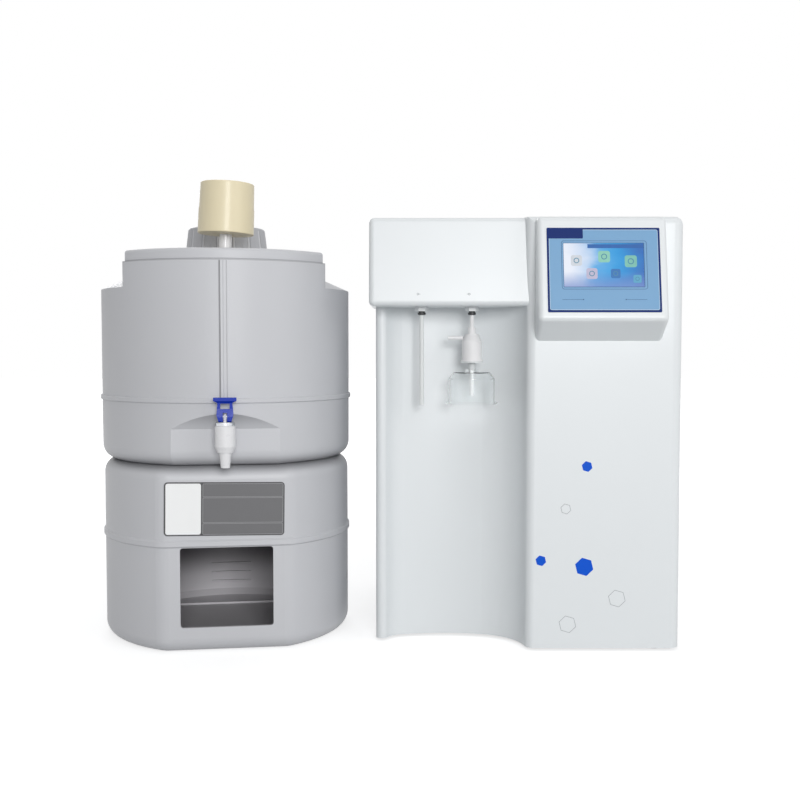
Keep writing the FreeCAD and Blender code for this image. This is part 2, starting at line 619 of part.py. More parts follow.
def tank_form(name, inset):
    """The tank's body without its openings, drawn in by a wall thickness."""
    piece = Piece(name)
    base = f"pedestal_height + {inset}"
    wide = f"(tank_radius - {inset})"
    drop = f"{inset} * (1 - sin(cone_slope)) / cos(cone_slope)"
    shoulder = f"pedestal_height + shoulder_rise - {drop}"
    piece.turn((("0", base), (wide, base), (wide, shoulder),
                (f"{wide} - cone_run", f"{shoulder} + cone_run * tan(cone_slope)"),
                ("0", f"{shoulder} + cone_run * tan(cone_slope)")))
    crown = piece.sketch("XY_Plane", "pedestal_height + shoulder_rise - crown_lap")
    crown_plan(crown, wide, f"crown_half - {inset}")
    piece.pad(crown, f"crown_rise - shoulder_rise + crown_lap - {inset}")
    piece.round("crown_round", upright)
    plate = piece.sketch("XY_Plane", f"pedestal_height + crown_rise - {inset}")
    crown_plan(plate, f"{wide} - plate_inset", f"crown_half - plate_inset - {inset}")
    piece.pad(plate, "plate_rise - crown_rise")
    low, side = "pedestal_height - cut_overrun", "-tank_radius - cut_overrun"
    recess = piece.polygon("YZ_Plane", (
        (side, low), (f"-recess_face + {inset}", low),
        (f"-recess_face + {inset}", "pedestal_height + recess_shoulder"),
        (f"-tank_radius + {inset}", "pedestal_height + recess_top"),
        (side, "pedestal_height + recess_top")))
    piece.pocket(recess, "2 * tank_radius", middle=True)
    if inset == "0":
        piece.round("tank_edge_round", level_at(base))
    else:
        piece.round(f"(tank_edge_round - {inset}) * hollow_bevel_share", level_at(base), CHAMFER)
    return piece


def tank_band(name):
    """The moulded band round the tank, which stops at the vertical strip's foot."""
    piece = Piece(name)
    spots = (("0", "0", "tank_radius + band_proud"),)
    piece.pad(piece.circles("XY_Plane", spots, "pedestal_height + band_rise"), "band_height")
    piece.round("ridge_round", level_at("pedestal_height + band_rise",
                                        "pedestal_height + band_rise + band_height"), CHAMFER)
    return piece


def tank():
    """The tank body: hollow, with a neck, a tap hole, a vent hole and two ports at the back."""
    outside = tank_form("tank_outside", "0")
    outside.round("plate_round", level_at("pedestal_height + plate_rise"))
    strip = outside.rectangle("XY_Plane", "-strip_width / 2", "-tank_radius - strip_proud",
                              "strip_width / 2", "-tank_radius + tank_wall",
                              "pedestal_height + band_rise + band_height / 2")
    outside.pad(strip, "crown_rise - band_rise - band_height / 2")
    neck = outside.circles("XY_Plane", (("0", "neck_back", "neck_radius"),),
                           "pedestal_height + plate_rise - tank_wall")
    outside.pad(neck, "neck_rise - plate_rise + tank_wall")
    body = union("tank_skin", [outside.body, tank_band("tank_band").body])
    hollow = tank_form("tank_hollow", "tank_wall")
    tools = [
        hollow.body,
        rod("neck_hole", "neck_bore", "neck_rise",
            ("0", "neck_back", "pedestal_height + plate_rise - 3 * tank_wall")),
        rod("tap_hole", "shank_radius + port_hole_gap",
            "tank_radius - recess_face + tank_wall + 2 * cut_overrun",
            ("0", "-tank_radius - cut_overrun", "shank_level"), BACK),
        rod("vent_hole", "vent_stem_radius + vent_hole_gap", "4 * tank_wall",
            ("0", "-vent_forward", "pedestal_height + plate_rise - 2 * tank_wall")),
    ]
    for number, turn in enumerate((-1, 0, 1)):
        start = port_spot(turn, "tank_radius - tank_wall - cut_overrun")
        tools.append(rod(f"port_hole_{number}", "port_radius + port_hole_gap",
                         "2 * cut_overrun + tank_wall", start, port_axis(turn)))
    settle(cut("tank_shell", body, tools), "tank_body", tank_frame())


def port_axis(turn):
    """The direction of a fitting at the back of the tank, square to the wall there."""
    angle = math.radians(turn * size("port_turn"))
    return V(math.sin(angle), math.cos(angle), 0)


def port_spot(turn, out):
    spot = port_axis(turn) * size(out)
    return (str(spot.x), str(spot.y), "port_level")


def cap():
    """The ribbed screw cap and the soft ring that it presses on the neck."""
    seat = "pedestal_height + neck_rise"
    foot = "pedestal_height + plate_rise + cap_foot_gap"
    roof = f"{seat} + seal_thick + cap_roof"
    lid = Piece("cap_form")
    lid.turn((("0", foot), ("cap_foot_radius", foot), ("cap_top_radius", roof), ("0", roof)))
    lid.round("cap_round", level_at(roof))
    reach = "cap_foot_radius + cap_flute_radius - cap_flute_depth"
    flute = lid.circles("XY_Plane", ((reach, "0", "cap_flute_radius"),), foot)
    groove = lid.pocket(flute, f"{roof} - ({foot}) - cap_flute_stop", flip=True)
    lid.spread(groove, "cap_flutes")
    bore = lid.circles("XY_Plane", (("0", "0", "neck_radius + cap_thread_gap"),), foot)
    lid.pocket(bore, f"{roof} - ({foot}) - cap_roof", flip=True)
    settle(lid, "tank_cap", tank_frame(), ("0", "neck_back", "0"))
    ring = Piece("seal_form")
    ring.turn((("neck_bore + seal_lap", seat), ("neck_radius", seat),
               ("neck_radius", f"{seat} + seal_thick"),
               ("neck_bore + seal_lap", f"{seat} + seal_thick")))
    settle(ring, "cap_seal", tank_frame(), ("0", "neck_back", "0"))


def vent():
    """The vent filter on its stem: two cups glued at their rims over a pleated element."""
    frame = tank_frame()
    lean = FreeCAD.Rotation(BACK, size("vent_lean"))
    foot = ("0", "-vent_forward", "pedestal_height + plate_rise")

    def stand(piece, label):
        settle(piece, label, frame, foot, lean)
    stem = Piece("stem_form")
    stem.turn((("vent_stem_bore", "-vent_stem_drop"), ("vent_stem_radius", "-vent_stem_drop"),
               ("vent_stem_radius", "vent_foot"), ("vent_stem_bore", "vent_foot")))
    stand(stem, "vent_stem")
    nut = Piece("vent_nut_form")
    top = "-tank_wall - vent_hole_gap"
    nut.turn((("vent_stem_radius", f"{top} - vent_nut_thick"),
              ("vent_nut_radius", f"{top} - vent_nut_thick"), ("vent_nut_radius", top),
              ("vent_stem_radius", top)))
    stand(nut, "vent_nut")
    seam, floor = "vent_foot + vent_seam", "vent_foot + vent_wall"
    wall = "vent_radius - vent_wall"
    base = Piece("vent_base_form")
    base.turn((("vent_stem_bore", "vent_foot"), ("vent_radius + vent_lip", "vent_foot"),
               ("vent_radius", seam), (wall, seam), (wall, floor), ("vent_stem_bore", floor)))
    base.round("vent_rim_round", level_at("vent_foot"))
    stand(base, "vent_base")
    top, roof = "vent_foot + vent_height", "vent_foot + vent_height - vent_wall"
    cover = Piece("vent_cover_form")
    cover.turn((("0", roof), (wall, roof), (wall, seam), ("vent_radius - vent_lip", seam),
                ("vent_radius - vent_lip - vent_taper", top), ("0", top)))
    cover.round("vent_rim_round", level_at(top))
    stand(cover, "vent_cover")
    element = Piece("pleat_form")
    pleats = element.sketch("XY_Plane", floor)
    add_polygon(pleats, pleat_corners())
    add_circle(pleats, "0", "0", "pleat_bore")
    element.pad(pleats, "pleat_height")
    stand(element, "vent_element")


def pleat_corners():
    """The folded paper's outline, one fold out and one fold in for each pleat."""
    folds = 2 * int(size("pleats"))
    corners = []
    for fold in range(folds):
        reach = "pleat_radius" if fold % 2 == 0 else "pleat_radius - pleat_depth"
        angle = f"{fold} * 180 / pleats"
        corners.append((f"({reach}) * cos({angle})", f"({reach}) * sin({angle})"))
    return corners


def tap():
    """The tap: its body, bonnet and ring are fixed; the stem lifts as the lever tips."""
    frame = tank_frame()
    spot = ("0", "-tap_forward", "0")
    wall = "tap_forward - recess_face"
    body = Piece("tap_form")
    body.turn((("0", "tap_tip"), ("nozzle_tip_radius", "tap_tip"),
               ("nozzle_top_radius", "tap_tip + nozzle_rise"), ("nozzle_top_radius", "cup_foot"),
               ("cup_foot_radius", "cup_foot"), ("cup_radius", "cup_turn"),
               ("cup_radius", "cup_top"), ("0", "cup_top")))
    shank = body.circles("XZ_Plane", (("0", "shank_level", "shank_radius"),), "cup_radius / 2")
    body.pad(shank, f"{wall} + shank_length - cup_radius / 2", flip=True)
    face = f"{wall} - washer_thick"
    flange = body.circles("XZ_Plane", (("0", "shank_level", "flange_radius"),),
                          f"{face} - flange_thick")
    body.pad(flange, "flange_thick", flip=True)
    chamber = body.circles("XY_Plane", (("0", "0", "chamber_bore"),), "cup_top")
    body.pocket(chamber, "cup_top - seat_level")
    outlet = body.circles("XY_Plane", (("0", "0", "nozzle_bore"),), "seat_level + tank_wall")
    body.pocket(outlet, "seat_level + tank_wall - tap_tip + cut_overrun")
    inlet = body.circles("XZ_Plane", (("0", "shank_level", "shank_bore"),), "0")
    body.pocket(inlet, f"{wall} + shank_length + cut_overrun")
    settle(body, "tap_body", frame, spot)

    spin = FreeCAD.Rotation(UP, BACK)
    washer = Piece("washer_form")
    washer.turn((("shank_radius", "0"), ("washer_radius", "0"),
                 ("washer_radius", "washer_thick"), ("shank_radius", "washer_thick")))
    settle(washer, "tap_washer", frame, ("0", f"-tap_forward + {face}", "shank_level"), spin)
    nut = hex_nut("tap_nut_form", "tap_nut_radius", "shank_radius", "tap_nut_thick")
    settle(nut, "tap_nut", frame, ("0", "-recess_face + tank_wall", "shank_level"), spin)

    bonnet = Piece("bonnet_form")
    inside, spigot = "stem_collar_radius + slide_gap + tap_side_gap", "chamber_bore - slide_gap"
    hole = "stem_radius + slide_gap"
    bonnet.turn(((inside, "cup_top - bonnet_spigot"), (spigot, "cup_top - bonnet_spigot"),
                 (spigot, "cup_top"), ("cup_radius", "cup_top"),
                 ("cup_radius", "bonnet_top - bonnet_roof / 2"),
                 ("cup_radius - bonnet_roof / 2", "bonnet_top"),
                 (hole, "bonnet_top"), (hole, "bonnet_top - bonnet_roof"),
                 (inside, "bonnet_top - bonnet_roof")))
    settle(bonnet, "tap_bonnet", frame, spot)
    ring = Piece("ring_form")
    ring.turn(((hole, "bonnet_top"), ("ring_radius", "bonnet_top"),
               ("ring_radius", "ring_top - ring_edge"), ("ring_radius - ring_edge", "ring_top"),
               (hole, "ring_top")))
    settle(ring, "tap_ring", frame, spot)

    stem = Piece("plunger_form")
    collar = "stem_collar_level + stem_collar_thick"
    stem.turn((("0", "seat_level + seal_cup_thick / 2"),
               ("stem_radius", "seat_level + seal_cup_thick / 2"),
               ("stem_radius", "stem_collar_level"), ("stem_collar_radius", "stem_collar_level"),
               ("stem_collar_radius", collar), ("stem_radius", collar),
               ("stem_radius", "stem_top - stem_radius / 2"), ("stem_radius / 2", "stem_top"),
               ("0", "stem_top")))
    hole = stem.circles("YZ_Plane", (("0", "pivot_level", "pin_radius"),))
    stem.pocket(hole, "4 * stem_radius", middle=True)
    settle(stem, "tap_stem", frame, spot)
    seal = Piece("seal_cup_form")
    seal.turn((("0", "seat_level"), ("seal_cup_radius", "seat_level"),
               ("seal_cup_radius", "seat_level + seal_cup_thick"),
               ("stem_radius", "seat_level + seal_cup_thick"),
               ("stem_radius", "seat_level + seal_cup_thick / 2"),
               ("0", "seat_level + seal_cup_thick / 2")))
    settle(seal, "tap_seal", frame, spot)
    pivot = Piece("pin_form")
    pivot.pad(pivot.circles("YZ_Plane", (("0", "pivot_level", "pin_radius"),)),
              "pin_length", middle=True)
    settle(pivot, "tap_pin", frame, spot)
    settle(tap_spring(collar, "bonnet_top - bonnet_roof"), "tap_spring", frame, spot)
    settle(tap_lever(), "tap_lever", frame, spot)


def tap_spring(low, high):
    """The closing spring, wound round the stem between its collar and the bonnet's roof."""
    wire, radius = size("spring_wire"), size("spring_radius")
    turns = size("spring_turns")
    rise = size(f"({high}) - ({low}) - spring_wire")
    start = size(f"{low} + spring_wire / 2")
    steps = int(4 * turns)

    def on_helix(share):
        angle = 2 * math.pi * turns * share
        return V(radius * math.cos(angle), radius * math.sin(angle), start + rise * share)
    edges = []
    for step in range(steps):
        first, middle, last = (on_helix((step + part) / steps) for part in (0, 0.5, 1))
        edges.append(Part.Arc(first, middle, last).toShape())
    path = Part.Wire(edges)
    along = edges[0].tangentAt(edges[0].FirstParameter)
    section = Part.Wire(Part.makeCircle(wire / 2, on_helix(0), along))
    spring = DOC.addObject("Part::Feature", "spring_form")
    spring.Shape = path.makePipeShell([section], True, False)
    return spring


def tap_lever():
    """The blue lever: the overlap of its front outline and its side outline, forked for the stem."""
    front = Piece("lever_front")
    narrow, flare = "lever_width / 2", "lever_flare / 2"
    right = [("lever_foot_width / 2", "lever_foot"), (narrow, "pivot_level + lever_round"),
             (f"{narrow} - lever_waist", "lever_lip_foot - lever_round"),
             (flare, "lever_lip_foot"), (flare, "lever_top")]
    left = [(f"-({across})", up) for across, up in reversed(right)]
    front.pad(front.polygon("XZ_Plane", right + left), "2 * lever_thick", middle=True)
    front.round("lever_round", lever_neck)
    side = Piece("lever_side")
    half, blade = "lever_thick / 2", "lever_blade / 2"
    side.pad(side.polygon("YZ_Plane", (
        (f"-{half} + lever_cam", "lever_foot"), (f"{half} - lever_cam", "lever_foot"),
        (half, "lever_foot + lever_cam"), (half, "pivot_level"),
        (blade, "pivot_level + lever_thick"), (blade, "lever_top"),
        (f"-{blade} - lever_lip", "lever_top"), (f"-{blade} - lever_lip", "lever_lip_foot"),
        (f"-{blade}", "lever_lip_foot - lever_lip"), (f"-{blade}", "pivot_level + lever_thick"),
        (f"-{half}", "pivot_level"), (f"-{half}", "lever_foot + lever_cam"))),
        "2 * lever_flare", middle=True)
    both = DOC.addObject("Part::MultiCommon", "lever_solid")
    both.Shapes = [front.body, side.body]
    DOC.recompute()
    slot = block("lever_slot", ("-lever_slot_width / 2", "-lever_thick", "lever_foot - cut_overrun"),
                 ("lever_slot_width / 2", "lever_thick", "stem_top + lever_slot_gap"))
    window = block("lever_window",
                   ("-lever_window_width / 2", "-lever_thick", "lever_window_foot"),
                   ("lever_window_width / 2", "lever_thick",
                    "lever_window_foot + lever_window_height"))
    hole = rod("lever_hole", "pin_radius + pin_gap", "2 * lever_width",
               ("-lever_width", "0", "pivot_level"), ACROSS)
    return cut("lever_form", both, [slot, window, hole])


def lever_neck(edge):
    """Picks the two inward corners under the lever's flared lip and the two outward ones above."""
    middle = edge.CenterOfMass
    return (runs_along(BACK)(edge) and middle.z > size("lever_lip_foot - 2 * lever_round")
            and middle.z < size("lever_lip_foot - lever_round / 2"))


def hex_nut(name, radius, bore, thick):
    """A six-sided nut standing on its frame's level plane, with its corners at the radius."""
    piece = Piece(name)
    corners = [(f"({radius}) * cos({60 * side})", f"({radius}) * sin({60 * side})")
               for side in range(6)]
    plan = piece.polygon("XY_Plane", corners)
    add_circle(plan, "0", "0", bore)
    piece.pad(plan, thick)
    return piece


def tank_ports():
    """Push-in unions through the tank's back wall, and a level sensor between them."""
    frame = tank_frame()
    inner = "port_wall_gap + tank_wall + port_nut_thick + port_wall_gap"
    bodies = []
    for turn in (-1, 1):
        piece = Piece(f"tank_port_form_{turn + 1}")
        piece.turn((
            ("port_bore", f"-({inner})"), ("port_radius", f"-({inner})"),
            ("port_radius", "port_wall_gap"), ("port_flange_radius", "port_wall_gap"),
            ("port_flange_radius", "port_wall_gap + port_flange_thick"),
            ("port_radius", "port_wall_gap + port_flange_thick"),
            ("port_radius", "port_reach - port_flange_thick / 2"),
            ("port_radius - port_flange_thick / 2", "port_reach"),
            ("tube_radius + slide_gap", "port_reach"), ("tube_radius + slide_gap", "0"),
            ("port_bore", "0")))
        piece.body.Placement = FreeCAD.Placement(spot_vector(port_spot(turn, "tank_radius")),
                                                 FreeCAD.Rotation(UP, port_axis(turn)))
        bodies.append(piece.body)
    settle(union("tank_ports_form", bodies), "tank_ports", frame)
    sensor = Piece("sensor_form")
    sensor.turn((("0", f"-({inner})"), ("port_radius", f"-({inner})"),
                 ("port_radius", "port_wall_gap"), ("port_flange_radius", "port_wall_gap"),
                 ("port_flange_radius", "port_wall_gap + port_flange_thick"),
                 ("sensor_radius", "port_wall_gap + port_flange_thick"),
                 ("sensor_radius", "sensor_reach"),
                 ("sensor_radius - sensor_round", "sensor_reach + sensor_round"),
                 ("tube_radius", "sensor_reach + sensor_round"),
                 ("tube_radius", "sensor_reach"), ("0", "sensor_reach")))
    settle(sensor, "level_sensor", frame, port_spot(0, "tank_radius"),
           FreeCAD.Rotation(UP, port_axis(0)))
    nuts = [hex_nut(f"port_nut_{turn + 1}", "port_nut_radius", "port_radius", "port_nut_thick")
            for turn in (-1, 0, 1)]
    for turn, nut in zip((-1, 0, 1), nuts):
        nut.body.Placement = FreeCAD.Placement(
            spot_vector(port_spot(turn, "tank_radius - tank_wall - port_wall_gap - port_nut_thick")),
            FreeCAD.Rotation(UP, port_axis(turn)))
    settle(union("port_nuts_form", [nut.body for nut in nuts]), "port_nuts", frame)


# The main unit: a moulded front with a scooped bay, a folded cover behind it, and what they hold.

def upper_meeting(first, first_radius, second, second_radius):
    """The upper of the two points at given distances from two centres."""
    between = second - first
    along = (first_radius ** 2 - second_radius ** 2 + between.Length ** 2) / (2 * between.Length)
    aside = math.sqrt(first_radius ** 2 - along ** 2)
    middle = first + between * (along / between.Length)
    side = V(-between.y, between.x, 0) * (aside / between.Length)
    return middle + side if side.y > 0 else middle - side


def bay_plan(sketch, inset):
    """The scooped bay seen from above: five arcs in tangent, from the left lip to the column.

    The cut runs out in front of the unit; its back is the bay's wall, or with an inset the
    inner face of that wall.
    """
    wall = size(inset)
    radii = ("lip_round - " + inset, "bay_left_sweep + " + inset, "bay_arc + " + inset,
             "bay_right_sweep + " + inset, "column_round - " + inset)
    lip_r, left_r, back_r, right_r, column_r = (size(radius) for radius in radii)
    lip = V(size("side_inset + lip_round"), size("lip_front + lip_round"), 0)
    back = V(size("bay_centre"), size("bay_deep - bay_arc"), 0)
    column = V(size("column_edge + column_round"), size("column_round"), 0)
    left = upper_meeting(lip, lip_r + left_r, back, back_r - left_r)
    right = upper_meeting(back, back_r - right_r, column, right_r + column_r)

    def from_centre(centre, other, radius):
        return centre + (other - centre).normalize() * radius
    start = V(lip.x - lip_r, lip.y, 0)
    lip_end = from_centre(lip, left, lip_r)
    left_end = left + (left - back).normalize() * left_r
    back_end = right + (right - back).normalize() * right_r
    right_end = from_centre(column, right, column_r)
    finish = V(column.x, column.y - column_r, 0)
    outside = -size("cut_overrun")
    front_right = V(finish.x, outside, 0)
    front_left = V(start.x + size("side_inset") * -2, outside, 0)
    back_left = V(front_left.x, start.y, 0)
    edges = (arc(lip, lip_r, start, lip_end), arc(left, left_r, lip_end, left_end, True),
             arc(back, back_r, left_end, back_end, True),
             arc(right, right_r, back_end, right_end, True),
             arc(column, column_r, right_end, finish),
             Part.LineSegment(finish, front_right), Part.LineSegment(front_right, front_left),
             Part.LineSegment(front_left, back_left), Part.LineSegment(back_left, start))
    numbers = [sketch.addGeometry(edge, False) for edge in edges]
    # an arc that is drawn clockwise is held from its far end back to its near end
    ends = {1: (2, 1), 2: (2, 1), 3: (2, 1)}
    for place, number in enumerate(numbers):
        after = (place + 1) % len(numbers)
        leave = ends.get(place, (1, 2))[1]
        enter = ends.get(after, (1, 2))[0]
        kind = "Tangent" if place < 4 else "Coincident"
        sketch.addConstraint(Sketcher.Constraint(kind, number, leave, numbers[after], enter))
    for number, radius in zip(numbers, radii):
        set_radius(sketch, number, radius)
    pin(sketch, numbers[0], 3, "side_inset + lip_round", "lip_front + lip_round")
    pin(sketch, numbers[2], 3, "bay_centre", "bay_deep - bay_arc")
    pin(sketch, numbers[4], 3, "column_edge + column_round", "column_round")
    pin(sketch, numbers[5], 1, "column_edge + column_round", None)
    pin(sketch, numbers[6], 1, "column_edge + column_round", "-cut_overrun")
    pin(sketch, numbers[7], 1, f"-side_inset + {inset}", "-cut_overrun")
    pin(sketch, numbers[8], 1, f"-side_inset + {inset}", "lip_front + lip_round")
    sketch.addConstraint(Sketcher.Constraint("Horizontal", numbers[8]))


def front_form(name, inset):
    """The front moulding's column and side walls with the bay scooped out, drawn in by a wall."""
    piece = Piece(name)
    low = f"foot_height - {inset} * 2"
    plan = piece.rectangle("XY_Plane", f"side_inset + {inset}", inset,
                           f"unit_width - {inset}", f"moulding_depth + {inset}", low)
    piece.pad(plan, f"unit_height - {inset} - ({low})")
    corner = size(f"unit_width - {inset}")
    front = size(inset)
    piece.round(f"side_round - {inset}", lambda edge: upright(edge)
                and abs(edge.BoundBox.XMax - corner) < NEAR
                and abs(edge.BoundBox.YMax - front) < NEAR)
    back = size(f"moulding_depth + {inset}")
    on_top = level_at(f"unit_height - {inset}")
    piece.round(f"top_round - {inset}",
                lambda edge: on_top(edge) and edge.BoundBox.YMin < back - NEAR)
    bay = piece.sketch("XY_Plane", low)
    bay_plan(bay, inset)
    piece.pocket(bay, f"unit_height - ({low}) + cut_overrun", flip=True)
    return piece


def head_form(name, inset):
    """The head that overhangs the bay, leaning back as it rises, drawn in by a wall."""
    piece = Piece(name)
    lean = "(head_top_front - head_low_front) / (unit_height - soffit)"
    side = piece.polygon("YZ_Plane", (
        (f"head_low_front + {inset} * (1 + {lean})", f"soffit + {inset}"),
        (f"head_depth - {inset}", f"soffit + {inset}"),
        (f"head_depth - {inset}", f"unit_height - {inset}"),
        (f"head_top_front + {inset} * (1 - {lean})", f"unit_height - {inset}")), inset)
    piece.pad(side, f"head_width - {inset}")
    left, back = size(inset), size(f"head_depth - {inset}")

    def outer(edge):
        box = edge.BoundBox
        behind = box.YMin > back - NEAR and box.XLength > NEAR
        right = box.XMin > size("head_width") - NEAR
        return not behind and not right
    piece.round(f"head_round - {inset}", outer)
    return piece


def front_moulding():
    """The white front in one moulding: column, scooped bay and overhanging head."""
    skin = union("front_skin", [front_form("front_outside", "0").body,
                                head_form("head_outside", "0").body])
    tools = [front_form("front_hollow", "moulding_wall").body,
             head_form("head_hollow", "moulding_wall").body,
             block("wire_hole",
                   ("pod_left + (pod_width - wire_hole_width) / 2", "-cut_overrun",
                    "wire_hole_foot"),
                   ("pod_left + (pod_width + wire_hole_width) / 2",
                    "moulding_wall + cut_overrun", "wire_hole_foot + wire_hole_height"))]
    for side in SIDES:
        tools.append(rod(f"outlet_hole_{side}", "union_radius + port_hole_gap",
                         "2 * cut_overrun + moulding_wall",
                         (f"outlet_{side}", "outlet_back", "soffit - cut_overrun")))
    settle(cut("front_shell", skin, tools), "front_moulding", unit_frame())


def rear_cover():
    """The folded cover behind the moulding: two sides and a top in one sheet."""
    def arch(name, inset, depth, start):
        piece = Piece(name)
        low = f"foot_height - 2 * {inset}"
        face = piece.rectangle("XZ_Plane", f"side_inset + {inset}", low,
                               f"unit_width - {inset}", f"unit_height - {inset}", start)
        piece.pad(face, depth, flip=True)
        top = size(f"unit_height - {inset}")
        piece.round(f"top_round - {inset}", lambda edge: runs_along(BACK)(edge)
                    and abs(edge.BoundBox.ZMax - top) < NEAR)
        return piece.body
    outside = arch("cover_outside", "0", "unit_depth - moulding_depth", "moulding_depth")
    hollow = arch("cover_hollow", "cover_wall", "unit_depth - moulding_depth + 2 * cut_overrun",
                  "moulding_depth - cut_overrun")
    tools = [hollow] + [screw_hole("cover", side, share, "screw_gap")
                        for side in SIDES for share in SCREW_SHARES]
    settle(cut("cover_shell", outside, tools), "rear_cover", unit_frame())


def screw_spot(side, share):
    """Where a screw's head bears on the cover's side, and the way it points out."""
    spot = ("side_inset" if side == "left" else "unit_width", "unit_depth - screw_inset",
            f"unit_height * {share}")
    return spot, V(-1, 0, 0) if side == "left" else ACROSS


def screw_hole(name, side, share, gap):
    """The hole for one of those screws, through the cover or through the panel's flange."""
    spot, outward = screw_spot(side, share)
    hole = rod(f"{name}_hole_{side}_{share}", f"screw_shank_radius + {gap}",
               "screw_length + cut_overrun")
    start = spot_vector(spot) - outward * size("screw_length")
    hole.Placement = FreeCAD.Placement(start, FreeCAD.Rotation(UP, outward))
    return hole


def back_panel():
    """The recessed panel that carries the connections, with its cooling slots and side flanges."""
    piece = Piece("panel_form")
    edge_gap = "(cover_wall + panel_gap)"
    face = piece.rectangle("XZ_Plane", f"side_inset + {edge_gap}", "foot_height + base_thick",
                           f"unit_width - {edge_gap}", f"unit_height - {edge_gap}",
                           "unit_depth - panel_recess")
    piece.pad(face, "panel_thick")
    piece.round(f"top_round - {edge_gap}", lambda edge: runs_along(BACK)(edge)
                and edge.BoundBox.ZMax > size("unit_height / 2"))
    slots = piece.sketch("XZ_Plane", "unit_depth - panel_recess")
    for slot in range(int(size("slots"))):
        foot = f"slot_foot + {slot} * slot_pitch"
        add_polygon(slots, (("slot_across", foot), ("slot_across + slot_length", foot),
                            ("slot_across + slot_length", f"{foot} + slot_width"),
                            ("slot_across", f"{foot} + slot_width")))
    piece.pocket(slots, "2 * panel_thick + 2 * cut_overrun", middle=True)
    holes = piece.sketch("XZ_Plane", "unit_depth - panel_recess")
    for port in range(int(size("rear_ports"))):
        add_circle(holes, f"rear_port_left + {port} * rear_port_pitch", "rear_port_level",
                   "rear_barrel_radius + slide_gap")
    for side in ("inlet", "switch"):
        half, tall = f"({side}_width / 2 - {side}_flange)", f"({side}_tall / 2 - {side}_flange)"
        add_polygon(holes, tuple((f"{side}_left {a} ({half} + slide_gap)",
                                  f"{side}_level {b} ({tall} + slide_gap)")
                                 for a, b in (("-", "-"), ("+", "-"), ("+", "+"), ("-", "+"))))
    piece.pocket(holes, "2 * panel_thick + 2 * cut_overrun", middle=True)
    flanges = piece.sketch("XY_Plane", "foot_height + base_thick")
    for left, right in ((f"side_inset + {edge_gap}", f"side_inset + {edge_gap} + panel_thick"),
                        (f"unit_width - {edge_gap} - panel_thick", f"unit_width - {edge_gap}")):
        front, back = "unit_depth - panel_recess - panel_thick", "unit_depth - panel_gap"
        add_polygon(flanges, ((left, front), (right, front), (right, back), (left, back)))
    piece.pad(flanges, f"unit_height - {edge_gap} - top_round - foot_height - base_thick")
    tools = [screw_hole("panel", side, share, "0") for side in SIDES for share in SCREW_SHARES]
    settle(cut("panel_shell", piece.body, tools), "back_panel", unit_frame())


def base_plate():
    """The floor of the cabinet, with a tongue under the column."""
    piece = Piece("base_form")
    gap = "(moulding_wall + seat_gap)"
    plan = piece.polygon("XY_Plane", (
        (f"side_inset + {gap}", "base_front"), ("tongue_left", "base_front"),
        ("tongue_left", gap), (f"unit_width - {gap}", gap),
        (f"unit_width - {gap}", "unit_depth - seat_gap"),
        (f"side_inset + {gap}", "unit_depth - seat_gap")), "foot_height")
    piece.pad(plan, "base_thick")
    right, front = size(f"unit_width - {gap}"), size(gap)
    piece.round("base_corner", lambda edge: upright(edge) and abs(edge.BoundBox.XMax - right) < NEAR
                and abs(edge.BoundBox.YMax - front) < NEAR)
    settle(piece, "base_plate", unit_frame())


def unit_feet():
    """Four rubber feet, one under each corner of the base plate."""
    piece = Piece("feet_form")
    left, right = "side_inset + foot_inset", "unit_width - foot_inset"
    back = "unit_depth - foot_inset"
    spots = [(left, "base_front + foot_front", "foot_radius"), (right, "foot_front", "foot_radius"),
             (left, back, "foot_radius"), (right, back, "foot_radius")]
    piece.pad(piece.circles("XY_Plane", spots), "foot_height")
    settle(piece, "unit_feet", unit_frame())


# The display pod on the column's front. Its face leans back as it rises.

def face_lean():
    """How far the pod's face leans back from upright."""
    return math.atan(size("(pod_reach - pod_top_reach) / (pod_shoulder - pod_nose)"))


def face_place(rise, out="0"):
    """A place on the pod's face: a distance up the face from its nose, and out of it."""
    lean, up, away = face_lean(), size(rise), size(out)
    start = spot_vector(("pod_left + pod_width / 2 + screen_shift", "-pod_reach", "pod_nose"))
    along = V(0, math.sin(lean), math.cos(lean))
    outward = V(0, -math.cos(lean), math.sin(lean))
    return start + along * up + outward * away


def face_turn():
    """Turns a piece that is drawn flat so that it lies on the pod's face."""
    return FreeCAD.Rotation(ACROSS, 90 - math.degrees(face_lean()))


def pod_form(name, inset):
    """The pod's wedge between its sloping underside and its top, drawn in by a wall."""
    piece = Piece(name)
    slope = "(pod_reach - pod_top_reach) / (pod_shoulder - pod_nose)"
    back = f"{inset} * sqrt(1 + ({slope})^2)"
    side = piece.polygon("YZ_Plane", (
        (f"{inset} * 2", f"pod_low + {inset}"),
        (f"-pod_reach + {back} + {inset} * {slope}", f"pod_nose + {inset}"),
        (f"-pod_top_reach + {back} - {inset} * {slope}", f"pod_shoulder - {inset}"),
        (f"{inset} * 2", f"pod_top - {inset}")), f"pod_left + {inset}")
    piece.pad(side, f"pod_width - 2 * {inset}")
    rear = size(f"{inset} * 2")
    piece.round(f"pod_round - {inset}",
                lambda edge: edge.BoundBox.YMin < rear - NEAR)
    return piece


def display_pod():
    """The pod's shell, open to the column behind it and to the screen in its face."""
    opening = Piece("screen_opening")
    opening.pad(opening.rectangle("XY_Plane", "-screen_width / 2", "-screen_tall / 2",
                                  "screen_width / 2", "screen_tall / 2"), "4 * pod_wall",
                middle=True)
    opening.body.Placement = FreeCAD.Placement(
        face_place("screen_rise + overlay_rise + screen_tall / 2"), face_turn())
    DOC.recompute()
    shell = cut("pod_shell", pod_form("pod_outside", "0").body,
                [pod_form("pod_hollow", "pod_wall").body, opening.body])
    settle(shell, "display_pod", unit_frame())


